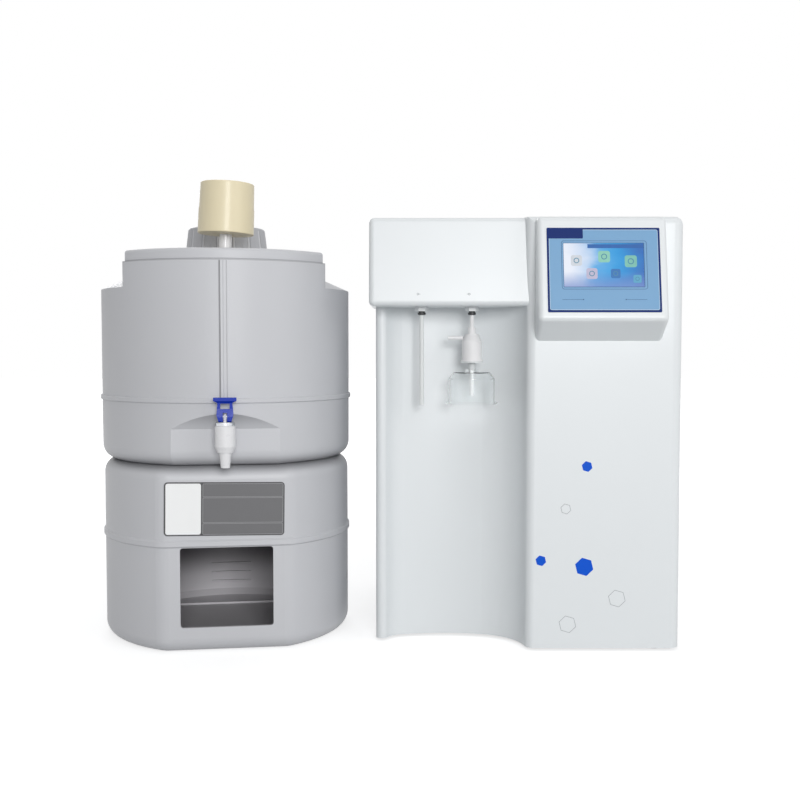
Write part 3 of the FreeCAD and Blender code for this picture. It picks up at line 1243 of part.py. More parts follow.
def lay_on_face(piece, label, rise, out="0"):
    frame = unit_frame()
    item = piece.body
    item.Label = label
    item.Placement = frame.multiply(FreeCAD.Placement(face_place(rise, out), face_turn()))
    NODES.append(item)


def screen():
    """The printed overlay, the touch panel behind it and the panel's board."""
    middle = "screen_rise + overlay_rise + screen_tall / 2"
    overlay = Piece("overlay_form")
    plate = overlay.rectangle("XY_Plane", "-overlay_width / 2",
                              "-screen_rise - screen_tall / 2", "overlay_width / 2",
                              "overlay_tall - screen_rise - screen_tall / 2")
    overlay.pad(plate, "overlay_thick")
    overlay.round("overlay_round", upright)
    gap = "slide_gap"
    opening = overlay.rectangle("XY_Plane", f"-screen_width / 2 - {gap}",
                                f"-screen_tall / 2 - {gap}", f"screen_width / 2 + {gap}",
                                f"screen_tall / 2 + {gap}", "overlay_thick")
    overlay.pocket(opening, "2 * overlay_thick")
    lay_on_face(overlay, "display_overlay", middle)

    panel = Piece("panel_module")
    back = "-pod_wall - module_thick"
    behind = panel.rectangle("XY_Plane", "-module_width / 2", "-module_tall / 2",
                             "module_width / 2", "module_tall / 2", back)
    panel.pad(behind, "module_thick")
    glass = panel.rectangle("XY_Plane", f"-screen_width / 2 + {gap}", f"-screen_tall / 2 + {gap}",
                            f"screen_width / 2 - {gap}", f"screen_tall / 2 - {gap}",
                            "-pod_wall")
    panel.pad(glass, "pod_wall + glass_step")
    lay_on_face(panel, "touchscreen", middle)

    board = Piece("board_form")
    rear = f"{back} - board_gap"
    wide, tall = "(module_width / 2 - board_inset)", "(module_tall / 2 - board_inset)"
    plate = board.rectangle("XY_Plane", f"-{wide}", f"-{tall}", wide, tall, rear)
    board.pad(plate, "board_thick", flip=True)
    studs = [(f"{a}{wide} {b} 2 * stud_radius", f"{c}{tall} {d} 2 * stud_radius", "stud_radius")
             for a, b in (("-", "+"), ("", "-")) for c, d in (("-", "+"), ("", "-"))]
    board.pad(board.circles("XY_Plane", studs, rear), "board_gap")
    lay_on_face(board, "display_board", middle)


# The two outlets under the head, the spout and the terminal filter.

def outlets():
    """Push-in unions through the head's underside, their collets, lock nuts and the spout."""
    frame = unit_frame()
    foot = "soffit - union_flange_thick"
    unions = []
    for side in SIDES:
        spot = (f"outlet_{side}", "outlet_back", "0")
        body = hex_nut(f"union_{side}_form", "union_flange_radius", "union_bore",
                       "union_flange_thick")
        barrel = body.circles("XY_Plane", (("0", "0", "union_radius"),), "union_flange_thick")
        body.pad(barrel, "union_rise")
        socket = body.circles("XY_Plane", (("0", "0", "union_bore"),), "union_socket")
        body.pocket(socket, "2 * union_socket")
        throat = body.circles("XY_Plane", (("0", "0", "tube_bore"),),
                              "union_flange_thick + union_rise")
        body.pocket(throat, "union_flange_thick + union_rise + cut_overrun")
        body.body.Placement.Base = spot_vector((f"outlet_{side}", "outlet_back", foot))
        unions.append(body.body)
        collet = Piece(f"collet_{side}_form")
        bore = "tube_radius + slide_gap"
        neck = "union_bore - slide_gap"
        collet.turn(((bore, f"{foot} - collet_drop"),
                     ("collet_radius - collet_edge", f"{foot} - collet_drop"),
                     ("collet_radius", f"{foot} - collet_drop + collet_edge"),
                     ("collet_radius", f"{foot} - collet_travel - seat_gap"),
                     (neck, f"{foot} - collet_travel - seat_gap"),
                     (neck, f"{foot} + collet_lap"), (bore, f"{foot} + collet_lap")))
        settle(collet, f"{side}_collet", frame, spot)
    settle(union("unions_form", unions), "outlet_unions", frame)
    nuts = [hex_nut(f"outlet_nut_{side}", "lock_nut_radius", "union_radius", "lock_nut_thick")
            for side in SIDES]
    for nut, side in zip(nuts, SIDES):
        nut.body.Placement.Base = spot_vector((f"outlet_{side}", "outlet_back",
                                               "soffit + moulding_wall"))
    settle(union("outlet_nuts_form", [nut.body for nut in nuts]), "outlet_lock_nuts", frame)

    spout = Piece("spout_form")
    top = f"{foot} + union_socket"
    spout.turn((("tube_bore", "spout_foot"), ("tube_radius", "spout_foot"),
                ("tube_radius", top), ("tube_bore", top)))
    settle(spout, "dispense_spout", frame, ("outlet_left", "outlet_back", "0"))


def terminal_filter():
    """The capsule that hangs from the right outlet: a frosted shell over a clear bell."""
    frame = unit_frame()
    spot = ("outlet_right", "outlet_back", "0")
    top = "soffit - union_flange_thick + union_socket"
    wall = "capsule_wall"
    shell = Piece("capsule_form")
    shell.turn((
        ("tube_bore", top), ("tube_radius", top), ("tube_radius", "capsule_neck_top"),
        ("capsule_neck_radius", "capsule_neck_top"), ("capsule_neck_radius", "capsule_top"),
        ("capsule_radius - capsule_crown", "capsule_top"), ("capsule_radius", "capsule_shoulder"),
        ("capsule_radius", "capsule_foot + capsule_flange_thick"),
        ("capsule_flange_radius", "capsule_foot + capsule_flange_thick"),
        ("capsule_flange_radius", "capsule_foot"),
        (f"capsule_radius - {wall}", "capsule_foot"),
        (f"capsule_radius - {wall}", "capsule_shoulder"),
        (f"capsule_radius - capsule_crown - {wall} / 2", f"capsule_top - {wall}"),
        ("tube_bore", f"capsule_top - {wall}")))
    nipple = shell.circles("YZ_Plane", (("0", "vent_nipple_level", "vent_nipple_radius"),),
                           "-vent_nipple_reach")
    shell.pad(nipple, "vent_nipple_reach - capsule_radius + capsule_wall")
    settle(shell, "filter_capsule", frame, spot)

    core = Piece("membrane_form")
    gap = "(capsule_wall + core_gap)"
    core.turn((("0", "capsule_foot"), (f"capsule_radius - {gap}", "capsule_foot"),
               (f"capsule_radius - {gap}", "capsule_shoulder - core_gap"),
               ("0", "capsule_shoulder - core_gap")))
    settle(core, "filter_membrane", frame, spot)

    barb = Piece("barb_form")
    rise = "(capsule_foot - capsule_flange_thick - bell_top - bell_hub)"
    rings = [("tube_bore", "nozzle_drop"), ("tube_radius", "nozzle_drop"),
             ("tube_radius", "bell_top + bell_hub")]
    for ring in range(int(size("barb_rings"))):
        low = f"bell_top + bell_hub + {rise} * {ring} / barb_rings"
        high = f"bell_top + bell_hub + {rise} * {ring + 1} / barb_rings"
        rings += [("barb_radius", low), ("barb_radius - barb_step", high)]
    rings += [("capsule_flange_radius", "capsule_foot - capsule_flange_thick"),
              ("capsule_flange_radius", "capsule_foot"), ("tube_bore", "capsule_foot")]
    barb.turn(rings)
    settle(barb, "filter_barb", frame, spot)

    bell = Piece("bell_form")
    wall = "bell_wall"
    slope = "(bell_radius - bell_top_radius) / (bell_top - bell_shoulder)"
    bell.turn((
        ("tube_radius", "bell_top - bell_wall"), ("tube_radius", "bell_top + bell_hub"),
        ("bell_hub_radius", "bell_top + bell_hub"), ("bell_hub_radius", "bell_top"),
        ("bell_top_radius", "bell_top"), ("bell_radius", "bell_shoulder"),
        ("bell_radius", "bell_foot + bell_flange_thick"),
        ("bell_flange_radius", "bell_foot + bell_flange_thick"),
        ("bell_flange_radius", "bell_foot"), (f"bell_radius - {wall}", "bell_foot"),
        (f"bell_radius - {wall}", f"bell_shoulder - {wall} / 2"),
        (f"bell_top_radius - {wall} / 2", f"bell_top - {wall}")))
    bell.round("bell_round", bell_crown)
    settle(bell, "filter_bell", frame, spot)


def bell_crown(edge):
    """Picks the two outer corners of the bell's shoulder."""
    box = edge.BoundBox
    reach = max(box.XMax, box.YMax)
    level = box.ZLength < NEAR
    corners = (("bell_top_radius", "bell_top"), ("bell_radius", "bell_shoulder"))
    return level and any(abs(reach - size(wide)) < NEAR and abs(box.ZMin - size(up)) < NEAR
                         for wide, up in corners)


# What the cabinet holds: the treatment train on an upright plate, the pump and the supply below.

def wall_plate():
    """The folded plate that stands on the base and carries the cartridges on both its sides."""
    piece = Piece("wall_plate_form")
    gap = "(moulding_wall + wall_plate_gap)"
    left, right = f"side_inset + {gap}", f"unit_width - {gap}"
    low = "foot_height + base_thick"
    upright_plate = piece.rectangle("XZ_Plane", left, low, right, "wall_plate_top",
                                    "wall_plate_back")
    piece.pad(upright_plate, "wall_plate_thick", flip=True)
    lip = piece.rectangle("XY_Plane", left, "wall_plate_back", right,
                          "wall_plate_back + wall_plate_lip", low)
    piece.pad(lip, "wall_plate_thick")
    settle(piece, "mounting_plate", unit_frame())


def cartridge(name, radius, height, cap_tall, dome):
    """An upright cartridge: a plain barrel between two stepped end caps."""
    piece = Piece(name)
    proud = f"{radius} + pack_cap_proud"
    piece.turn((
        ("0", "0"), (f"{proud} - {dome}", "0"), (proud, dome), (proud, cap_tall),
        (radius, cap_tall), (radius, f"{height} - {cap_tall}"),
        (proud, f"{height} - {cap_tall}"), (proud, f"{height} - {dome}"),
        (f"{proud} - {dome}", height), ("stub_radius", height),
        ("stub_radius", f"{height} + stub_height"), ("0", f"{height} + stub_height")))
    return piece


def clip(name, radius, side):
    """A spring clip that grips a barrel and stands on the plate behind or before it."""
    piece = Piece(name)
    outer = f"({radius} + clip_thick)"
    ring = piece.circles("XY_Plane", (("0", "0", outer), ("0", "0", f"{radius} + seat_gap")))
    piece.pad(ring, "clip_height")
    mouth = f"clip_open_share * {radius}"
    low, high = (f"-{outer} - cut_overrun", f"-{radius} + {mouth}")
    if side < 0:
        low, high = f"{radius} - {mouth}", f"{outer} + cut_overrun"
    slot = piece.rectangle("XY_Plane", f"-{outer} - cut_overrun", low, f"{outer} + cut_overrun",
                           high)
    piece.pocket(slot, "clip_height + cut_overrun", flip=True)
    foot_low, foot_high = f"({radius} + clip_thick / 2)", f"({radius} + clip_pad)"
    if side < 0:
        foot_low, foot_high = f"-{foot_high}", f"-{foot_low}"
    foot = piece.rectangle("XY_Plane", "-clip_height / 2", foot_low, "clip_height / 2", foot_high)
    piece.pad(foot, "clip_height")
    return piece.body


def treatment_train():
    """Polishing packs before the plate; prefilters, membrane and lamp housing behind it."""
    frame = unit_frame()
    front = "wall_plate_back - {0} - clip_pad"
    behind = "wall_plate_back + wall_plate_thick + {0} + clip_pad"
    rows = []
    for pack in range(int(size("packs"))):
        rows.append((f"polishing_pack_{pack + 1}", f"pack_left + {pack} * pack_pitch", 1,
                     "pack_radius", "pack_foot", "pack_height", "pack_cap"))
    for prefilter in range(int(size("prefilters"))):
        rows.append((f"prefilter_{prefilter + 1}",
                     f"prefilter_left + {prefilter} * prefilter_pitch", -1,
                     "prefilter_radius", "prefilter_foot", "prefilter_height", "prefilter_cap"))
    rows.append(("membrane_housing", "membrane_left", -1, "prefilter_radius", "membrane_foot",
                 "membrane_height", "prefilter_cap"))
    rows.append(("lamp_housing", "lamp_left", -1, "lamp_radius", "lamp_foot", "lamp_height",
                 "lamp_cap"))
    clips = []
    spares = []
    for label, across, side, radius, foot, height, cap_tall in rows:
        back = (front if side > 0 else behind).format(radius)
        piece = cartridge(label + "_form", radius, height, cap_tall, "cartridge_dome")
        if label.startswith("prefilter"):
            piece.body.Placement.Base = spot_vector((across, back, foot))
            spares.append(piece.body)
        else:
            settle(piece, label, frame, (across, back, foot))
        for share in ("clip_low_share", "clip_high_share"):
            grip = clip(f"{label}_{share[:-6]}", radius, side)
            grip.Placement.Base = spot_vector((across, back, f"{foot} + {share} * {height}"))
            clips.append(grip)
    settle(union("prefilters_form", spares), "prefilters", frame)
    settle(union("clips_form", clips), "cartridge_clips", frame)


def booster_pump():
    """The diaphragm pump: a motor and its head on a folded foot with rubber pads."""
    piece = Piece("pump_form")
    axis = "pump_rubber + pump_foot_thick / 2 + pump_radius"
    half = "(pump_radius - pump_head_round)"
    motor = piece.circles("YZ_Plane", (("0", axis, "pump_radius"),), "pump_head")
    piece.pad(motor, "pump_length")
    piece.round("pump_head_round",
                lambda edge: edge.BoundBox.XMin > size("pump_head + pump_length") - NEAR)
    face = piece.rectangle("YZ_Plane", f"-{half}", f"{axis} - {half}", half, f"{axis} + {half}")
    piece.pad(face, "pump_head")
    foot = piece.rectangle("XY_Plane", "pump_head", f"-{half}", "pump_head + pump_bracket", half,
                           "pump_rubber")
    piece.pad(foot, "pump_foot_thick")
    for reach in ("pump_head / 3", "2 * pump_head / 3"):
        stub = piece.circles("XY_Plane", ((reach, "0", "stub_radius"),), f"{axis} + {half}")
        piece.pad(stub, "stub_height")
    spot = ("pump_left", "pump_back", "foot_height + base_thick")
    settle(piece, "booster_pump", unit_frame(), spot)
    pads = Piece("pump_pads_form")
    pad_radius = "pump_rubber * 2 / 3"
    spots = [(f"pump_head + {along}", f"{side}({half} - {pad_radius})", pad_radius)
             for along in (pad_radius, f"pump_bracket - {pad_radius}") for side in ("-", "")]
    pads.pad(pads.circles("XY_Plane", spots), "pump_rubber")
    settle(pads, "pump_pads", unit_frame(), spot)


def power_supply():
    """The boxed supply with the cooling slots of its perforated lid."""
    piece = Piece("supply_form")
    piece.pad(piece.rectangle("XY_Plane", "0", "0", "supply_width", "supply_depth"),
              "supply_height")
    slots = piece.sketch("XY_Plane", "supply_height")
    front, rear = "supply_depth / 4", "3 * supply_depth / 4"
    for slot in range(int(size("supply_slots"))):
        left = f"{slot + 1} * supply_width / (supply_slots + 1) - slot_width / 2"
        right = f"{left} + slot_width"
        add_polygon(slots, ((left, front), (right, front), (right, rear), (left, rear)))
    piece.pocket(slots, "slot_width")
    settle(piece, "power_supply", unit_frame(),
           ("supply_left", "supply_back", "foot_height + base_thick"))


def control_board():
    """The main board on four studs, with its relays and its connector row."""
    piece = Piece("main_board_form")
    plate = piece.rectangle("XZ_Plane", "0", "0", "main_board_width", "main_board_tall",
                            "-main_board_stand")
    piece.pad(plate, "board_thick", flip=False)
    reach = "2 * stud_radius"
    studs = [(across, up, "stud_radius") for across in (reach, f"main_board_width - {reach}")
             for up in (reach, f"main_board_tall - {reach}")]
    piece.pad(piece.circles("XZ_Plane", studs, "-main_board_stand"), "main_board_stand", flip=True)
    for relay in range(int(size("relays"))):
        left = f"main_board_width * {relay + 1} / (relays + 2)"
        can = piece.rectangle("XZ_Plane", left, "main_board_tall / 2",
                              f"{left} + main_board_width / 9", "main_board_tall * 3 / 4",
                              "-main_board_stand - board_thick")
        piece.pad(can, "2 * main_board_stand")
    settle(piece, "control_board", unit_frame(),
           ("main_board_left", "wall_plate_back", "main_board_foot"))


def valves():
    """Solenoid valves: a square body against the plate with an upright coil on it."""
    bodies = []
    for valve in range(int(size("valves"))):
        piece = Piece(f"valve_form_{valve + 1}")
        half = "valve_block / 2"
        body = piece.rectangle("XY_Plane", f"-{half}", "0", half, "valve_depth")
        piece.pad(body, "valve_block")
        coil = piece.circles("XY_Plane", (("0", "valve_depth / 2", "coil_radius"),),
                             "valve_block")
        piece.pad(coil, "coil_height")
        for level in ("-1", "1"):
            stub = piece.circles("YZ_Plane", (("valve_depth / 2", half, "stub_radius"),),
                                 f"{level} * {half}")
            piece.pad(stub, "stub_height", flip=level == "-1")
        piece.body.Placement.Base = spot_vector((f"valve_left + {valve} * valve_pitch",
                                                 "wall_plate_back + wall_plate_thick",
                                                 "valve_level"))
        bodies.append(piece.body)
    settle(union("valves_form", bodies), "solenoid_valves", unit_frame())


# Connections on the back panel.

def rear_ports():
    """Four unions through the panel: feed, tank, drain and spare, with their lock nuts."""
    frame = unit_frame()
    outward = FreeCAD.Rotation(UP, BACK)
    panel_face = "unit_depth - panel_recess"
    bodies, nuts = [], []
    for port in range(int(size("rear_ports"))):
        spot = (f"rear_port_left + {port} * rear_port_pitch", panel_face, "rear_port_level")
        piece = hex_nut(f"rear_port_form_{port}", "rear_hex_radius", "tube_radius + slide_gap",
                        "rear_hex_thick")
        barrel = piece.circles("XY_Plane", (("0", "0", "rear_barrel_radius"),
                                            ("0", "0", "tube_radius + slide_gap")),
                               "rear_hex_thick")
        piece.pad(barrel, "rear_reach - rear_hex_thick")
        shank = piece.circles("XY_Plane", (("0", "0", "rear_barrel_radius"),
                                           ("0", "0", "port_bore")))
        piece.pad(shank, "panel_thick + rear_nut_thick + rear_shank_proud", flip=True)
        piece.body.Placement = FreeCAD.Placement(spot_vector(spot), outward)
        bodies.append(piece.body)
        nut = hex_nut(f"rear_nut_form_{port}", "rear_hex_radius", "rear_barrel_radius",
                      "rear_nut_thick")
        inside = (spot[0], f"{panel_face} - panel_thick - rear_nut_thick", spot[2])
        nut.body.Placement = FreeCAD.Placement(spot_vector(inside), outward)
        nuts.append(nut.body)
    settle(union("rear_ports_form", bodies), "rear_ports", frame)
    settle(union("rear_nuts_form", nuts), "rear_port_nuts", frame)


def power_inlet():
    """The mains inlet: a flanged box with three blades in its socket."""
    piece = Piece("inlet_form")
    wide, tall, flange = "inlet_width / 2", "inlet_tall / 2", "inlet_flange"
    piece.pad(piece.rectangle("XZ_Plane", f"-{wide}", f"-{tall}", wide, tall), flange, flip=True)
    body = piece.rectangle("XZ_Plane", f"-{wide} + {flange}", f"-{tall} + {flange}",
                           f"{wide} - {flange}", f"{tall} - {flange}")
    piece.pad(body, "inlet_body_depth")
    socket = piece.rectangle("XZ_Plane", "-inlet_socket_width / 2", "-inlet_socket_tall / 2",
                             "inlet_socket_width / 2", "inlet_socket_tall / 2", flange)
    piece.pocket(socket, "inlet_socket_depth + inlet_flange", flip=True)
    blades = piece.sketch("XZ_Plane", "-inlet_socket_depth")
    for across, up in (("-blade_spread", "-blade_tall / 2"), ("blade_spread", "-blade_tall / 2"),
                       ("0", "blade_tall / 2")):
        add_polygon(blades, tuple((f"{across} {a} blade_width / 2", f"{up} {b} blade_tall / 2")
                                  for a, b in (("-", "-"), ("+", "-"), ("+", "+"), ("-", "+"))))
    piece.pad(blades, "blade_length", flip=True)
    settle(piece, "power_inlet", unit_frame(),
           ("inlet_left", "unit_depth - panel_recess", "inlet_level"))


def power_switch():
    """The rocker switch: a bezel and box that hold a rocker on a cross pin."""
    spot = ("switch_left", "unit_depth - panel_recess", "switch_level")
    piece = Piece("switch_form")
    wide, tall, flange = "switch_width / 2", "switch_tall / 2", "switch_flange"
    piece.pad(piece.rectangle("XZ_Plane", f"-{wide}", f"-{tall}", wide, tall), flange, flip=True)
    body = piece.rectangle("XZ_Plane", f"-{wide} + {flange}", f"-{tall} + {flange}",
                           f"{wide} - {flange}", f"{tall} - {flange}")
    piece.pad(body, "switch_body_depth")
    gap = "rocker_gap"
    well = piece.rectangle("XZ_Plane", f"-rocker_width / 2 - slide_gap",
                           f"-rocker_tall / 2 - {gap}", f"rocker_width / 2 + slide_gap",
                           f"rocker_tall / 2 + {gap}", flange)
    piece.pocket(well, f"{flange} + rocker_depth + {gap}", flip=True)
    cross = piece.circles("YZ_Plane", (("-rocker_pivot", "0", "pin_radius"),))
    piece.pad(cross, f"switch_width - 2 * {flange}", middle=True)
    settle(piece, "switch_body", unit_frame(), spot)

    rocker = Piece("rocker_solid")
    top = "rocker_tall / 2"
    rocker.pad(rocker.polygon("YZ_Plane", (
        ("-rocker_depth + rocker_gap", f"-{top} * 2 / 3"), ("rocker_proud", f"-{top}"),
        ("rocker_proud / 3", "0"), ("rocker_proud", top),
        ("-rocker_depth + rocker_gap", f"{top} * 2 / 3"))), "rocker_width", middle=True)
    bore = rocker.circles("YZ_Plane", (("-rocker_pivot", "0", "pin_radius + pin_gap"),))
    rocker.pocket(bore, "2 * rocker_width", middle=True)
    base = FreeCAD.Placement(V(), FreeCAD.Rotation(ACROSS, -size("rocker_swing")),
                             V(0, -size("rocker_pivot"), 0))
    item = rocker.body
    item.Label = "switch_rocker"
    item.Placement = unit_frame().multiply(FreeCAD.Placement(spot_vector(spot),
                                                             FreeCAD.Rotation())).multiply(base)
    NODES.append(item)


def cover_screws():
    """The pan-head screws that hold the cover's sides to the back panel's flanges."""
    screws = []
    for side in SIDES:
        for share in SCREW_SHARES:
            piece = Piece(f"screw_{side}_{share}")
            piece.turn((("0", "-screw_length"), ("screw_shank_radius", "-screw_length"),
                        ("screw_shank_radius", "0"), ("screw_radius", "0"),
                        ("screw_radius - screw_shank_radius / 2", "screw_head"),
                        ("0", "screw_head")))
            spot, outward = screw_spot(side, share)
            piece.body.Placement = FreeCAD.Placement(spot_vector(spot),
                                                     FreeCAD.Rotation(UP, outward))
            screws.append(piece.body)
    settle(union("screws_form", screws), "cover_screws", unit_frame())


def main():
    fill_sheet()
    pedestal()
    tank()
    cap()
    vent()
    tap()
    tank_ports()
    front_moulding()
    rear_cover()
    back_panel()
    base_plate()
    unit_feet()
    display_pod()
    screen()
    outlets()
    terminal_filter()
    wall_plate()
    treatment_train()
    booster_pump()
    power_supply()
    control_board()
    valves()
    rear_ports()
    power_inlet()
    power_switch()
    cover_screws()
    for item in DOC.Objects:
        if "Invalid" in item.State or "Error" in item.State:
            raise RuntimeError(f"{item.Name} failed: {item.State}")
    os.makedirs("parts", exist_ok=True)
    for node in NODES:
        if node.Shape.isNull() or not node.Shape.isValid():
            raise RuntimeError(f"{node.Label} has no sound shape")
        node.Shape.exportStep(f"parts/{node.Label}.step")


main()
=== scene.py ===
# %% [markdown]
# # An ultrapure water system
#
# Two units stand side by side on a bench: a white dispensing unit with a touch screen, and a
# grey storage tank with a tap, on a hollow pedestal. Their solid shapes come from a CAD model.
# This script gives every piece its plastic, metal or print, adds the thin printed pieces and
# a spring piece, and sets up the camera, the light and the floor.

# %% Load the imported model
import json
import math

import bpy
from mathutils import Matrix, Vector


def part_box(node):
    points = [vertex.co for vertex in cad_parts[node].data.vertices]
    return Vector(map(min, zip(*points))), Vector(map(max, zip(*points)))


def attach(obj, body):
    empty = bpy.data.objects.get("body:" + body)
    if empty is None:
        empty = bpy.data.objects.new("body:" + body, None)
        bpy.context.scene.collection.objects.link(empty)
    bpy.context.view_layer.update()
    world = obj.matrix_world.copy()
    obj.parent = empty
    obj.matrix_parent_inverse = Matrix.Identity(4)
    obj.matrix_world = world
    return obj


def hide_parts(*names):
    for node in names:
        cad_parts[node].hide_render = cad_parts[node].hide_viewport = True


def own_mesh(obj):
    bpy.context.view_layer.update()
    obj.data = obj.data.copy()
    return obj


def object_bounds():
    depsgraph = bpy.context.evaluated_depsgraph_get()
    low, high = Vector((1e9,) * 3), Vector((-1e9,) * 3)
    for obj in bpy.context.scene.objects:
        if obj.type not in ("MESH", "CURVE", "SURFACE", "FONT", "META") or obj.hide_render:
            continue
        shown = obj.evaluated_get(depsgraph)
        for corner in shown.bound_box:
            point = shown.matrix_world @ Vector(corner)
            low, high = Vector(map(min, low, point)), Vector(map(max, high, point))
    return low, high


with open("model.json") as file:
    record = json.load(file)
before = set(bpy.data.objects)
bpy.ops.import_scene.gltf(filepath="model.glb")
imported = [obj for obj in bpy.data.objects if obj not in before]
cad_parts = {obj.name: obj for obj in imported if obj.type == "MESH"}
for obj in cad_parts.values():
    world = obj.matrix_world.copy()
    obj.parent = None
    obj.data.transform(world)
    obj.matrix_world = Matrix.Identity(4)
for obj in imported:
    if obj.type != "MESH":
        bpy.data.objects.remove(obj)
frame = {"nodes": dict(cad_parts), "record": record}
cad_low, cad_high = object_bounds()
print("CAD box in millimetres:", [round(1000 * v, 1) for v in (*cad_low, *cad_high)])

# %% [markdown]
# ## Two small frames to measure from
#
# The main unit stands square to the row, so its front left foot corner is enough to measure
# from. The tank is turned a little. Its band runs round it, so the middle of its box is its
# axis, and the line from there to the tap's ring gives the tank's front.

# %% Millimetres, and the two units' frames
MM = 0.001
UNIT_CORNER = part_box("front_moulding")[0]


def middle_of(node):
    low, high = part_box(node)
    return (low + high) / 2


def in_unit(across, back, up):
    """A place measured from the main unit's front left corner on the bench."""
    return Vector((UNIT_CORNER.x + across * MM, UNIT_CORNER.y + back * MM, up * MM))


tank_middle, tap_middle = middle_of("tank_body"), middle_of("tap_ring")
TANK_AXIS = Vector((tank_middle.x, tank_middle.y, 0))
TANK_FRONT = Vector((tap_middle.x - TANK_AXIS.x, tap_middle.y - TANK_AXIS.y, 0)).normalized()
TANK_RIGHT = Vector((-TANK_FRONT.y, TANK_FRONT.x, 0))
TANK_TURN = math.atan2(TANK_RIGHT.y, TANK_RIGHT.x)


def on_tank(across, forward, up):
    """A place measured from the foot of the tank's axis, in the tank's own directions."""
    return TANK_AXIS + (TANK_RIGHT * across + TANK_FRONT * forward) * MM + Vector((0, 0, up * MM))


print(f"the tank is turned {math.degrees(TANK_TURN):.1f} degrees")

# %% [markdown]
# ## The camera
#
# The photograph was taken from about a metre and a half, a little above the middle of the
# units, with a long lens. The camera looks down by three degrees, so upright edges close in
# slightly towards the bench. Its place is in millimetres from the main unit's front left foot.

# %% Camera
CAMERA_ACROSS, CAMERA_BACK, CAMERA_HEIGHT = 43.0, -1472.0, 427.3
CAMERA_TILT = math.radians(87.05)
camera_data = bpy.data.cameras.new("photo_camera")
camera_data.sensor_width = 36.0
camera_data.lens = 48.0
camera_data.clip_start = 0.05
camera = bpy.data.objects.new("photo_camera", camera_data)
bpy.context.scene.collection.objects.link(camera)
camera.location = in_unit(CAMERA_ACROSS, CAMERA_BACK, CAMERA_HEIGHT)
camera.rotation_euler = (CAMERA_TILT, 0, 0)
bpy.context.scene.camera = camera
print("camera at", [round(v, 3) for v in camera.location])

# %% [markdown]
# ## Helpers for modelling
#
# Blender's operators act on whatever is selected, and the loaded pieces come in selected, so
# each step starts with an empty selection. A finished piece has its place in its mesh and
# sits at the origin, and it rides on the body that carries it.

# %% Modelling helpers


def nothing_selected():
    if bpy.context.mode != "OBJECT":
        bpy.ops.object.mode_set(mode="OBJECT")
    bpy.ops.object.select_all(action="DESELECT")


def place_in_mesh(piece):
    nothing_selected()
    piece.select_set(True)
    bpy.context.view_layer.objects.active = piece
    bpy.ops.object.transform_apply(location=True, rotation=True, scale=True)


def hand_over(piece, name, body, material):
    """Names a piece, gives it its finish and lets it ride on its body."""
    place_in_mesh(piece)
    piece.name = name
    piece.data.name = name
    piece.data.materials.clear()
    piece.data.materials.append(material)
    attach(piece, body)
    return piece


def join_pieces(pieces):
    """One object from several, each with its place in its mesh first."""
    for piece in pieces:
        place_in_mesh(piece)
    nothing_selected()
    for piece in pieces:
        piece.select_set(True)
    bpy.context.view_layer.objects.active = pieces[0]
    bpy.ops.object.join()
    return bpy.context.object


def leave_rim(wide):
    """Cuts the middle out of the flat face being edited and leaves a rim, then selects it."""
    bpy.ops.mesh.inset(thickness=wide * MM)
    bpy.ops.mesh.delete(type="FACE")
    bpy.ops.mesh.select_all(action="SELECT")


def thicken(thick):
    """Raises the flat faces being edited to a thickness, leaves edit mode, gives the piece."""
    bpy.ops.mesh.extrude_region_move(TRANSFORM_OT_translate={"value": (0, 0, thick * MM)})
    bpy.ops.mesh.select_all(action="SELECT")
    bpy.ops.mesh.normals_make_consistent(inside=False)
    bpy.ops.object.mode_set(mode="OBJECT")
    return bpy.context.object


def plate(width, tall, thick, corner=0.0, ring=0.0):
    """A flat printed plate with round corners, or only its rim. It faces up, in millimetres."""
    nothing_selected()
    bpy.ops.mesh.primitive_plane_add(size=1)
    bpy.ops.object.mode_set(mode="EDIT")
    bpy.ops.transform.resize(value=(width * MM, tall * MM, 1))
    if corner:
        bpy.ops.mesh.bevel(offset=corner * MM, segments=6, affect="VERTICES")
    if ring:
        leave_rim(ring)
    return thicken(thick)


def stand(piece, spot, lean=0.0, turn=0.0):
    """Stands a plate that faces up against a front, leaning back by an angle."""
    piece.location = spot
    piece.rotation_euler = (math.radians(90) - lean, 0, turn)
    return piece


# %% [markdown]
# ## Shared surface effects
#
# Moulded plastic is never quite even. Its tone drifts over a hand's width, and its skin has
# a fine orange peel from the mould. Both belong in one node group, which every plastic uses
# with its own colour and its own size of grain. The group gives out only what changes
# over the surface: a colour, a roughness and a normal.

# %% Colours and node helpers


def tone(red, green, blue):
    """A colour read off a screen, 0 to 255, as the linear numbers that a shader takes."""
    linear = []
    for value in (red, green, blue):
        share = value / 255
        linear.append(share / 12.92 if share <= 0.04045 else ((share + 0.055) / 1.055) ** 2.4)
    return (*linear, 1.0)


def add_node(tree, kind, column, row, **settings):
    made = tree.nodes.new(kind)
    made.location = (220 * column, -180 * row)
    for name, value in settings.items():
        setattr(made, name, value)
    return made


def object_place(tree, column=0, row=0):
    """Coordinates that belong to the object, so a pattern stays on it in every view."""
    return add_node(tree, "ShaderNodeTexCoord", column, row).outputs["Object"]


def noise(tree, where, scale, detail, column, row):
    made = add_node(tree, "ShaderNodeTexNoise", column, row)
    made.inputs["Scale"].default_value = scale
    made.inputs["Detail"].default_value = detail
    tree.links.new(where, made.inputs["Vector"])
    return made.outputs["Fac"]


def spread(tree, value, low, high, column, row):
    """Maps a noise, which stays near its middle, onto the range from low to high."""
    made = add_node(tree, "ShaderNodeMapRange", column, row)
    made.inputs["From Min"].default_value = 0.3
    made.inputs["From Max"].default_value = 0.7
    made.inputs["To Min"].default_value = low
    made.inputs["To Max"].default_value = high
    tree.links.new(value, made.inputs["Value"])
    return made.outputs["Result"]


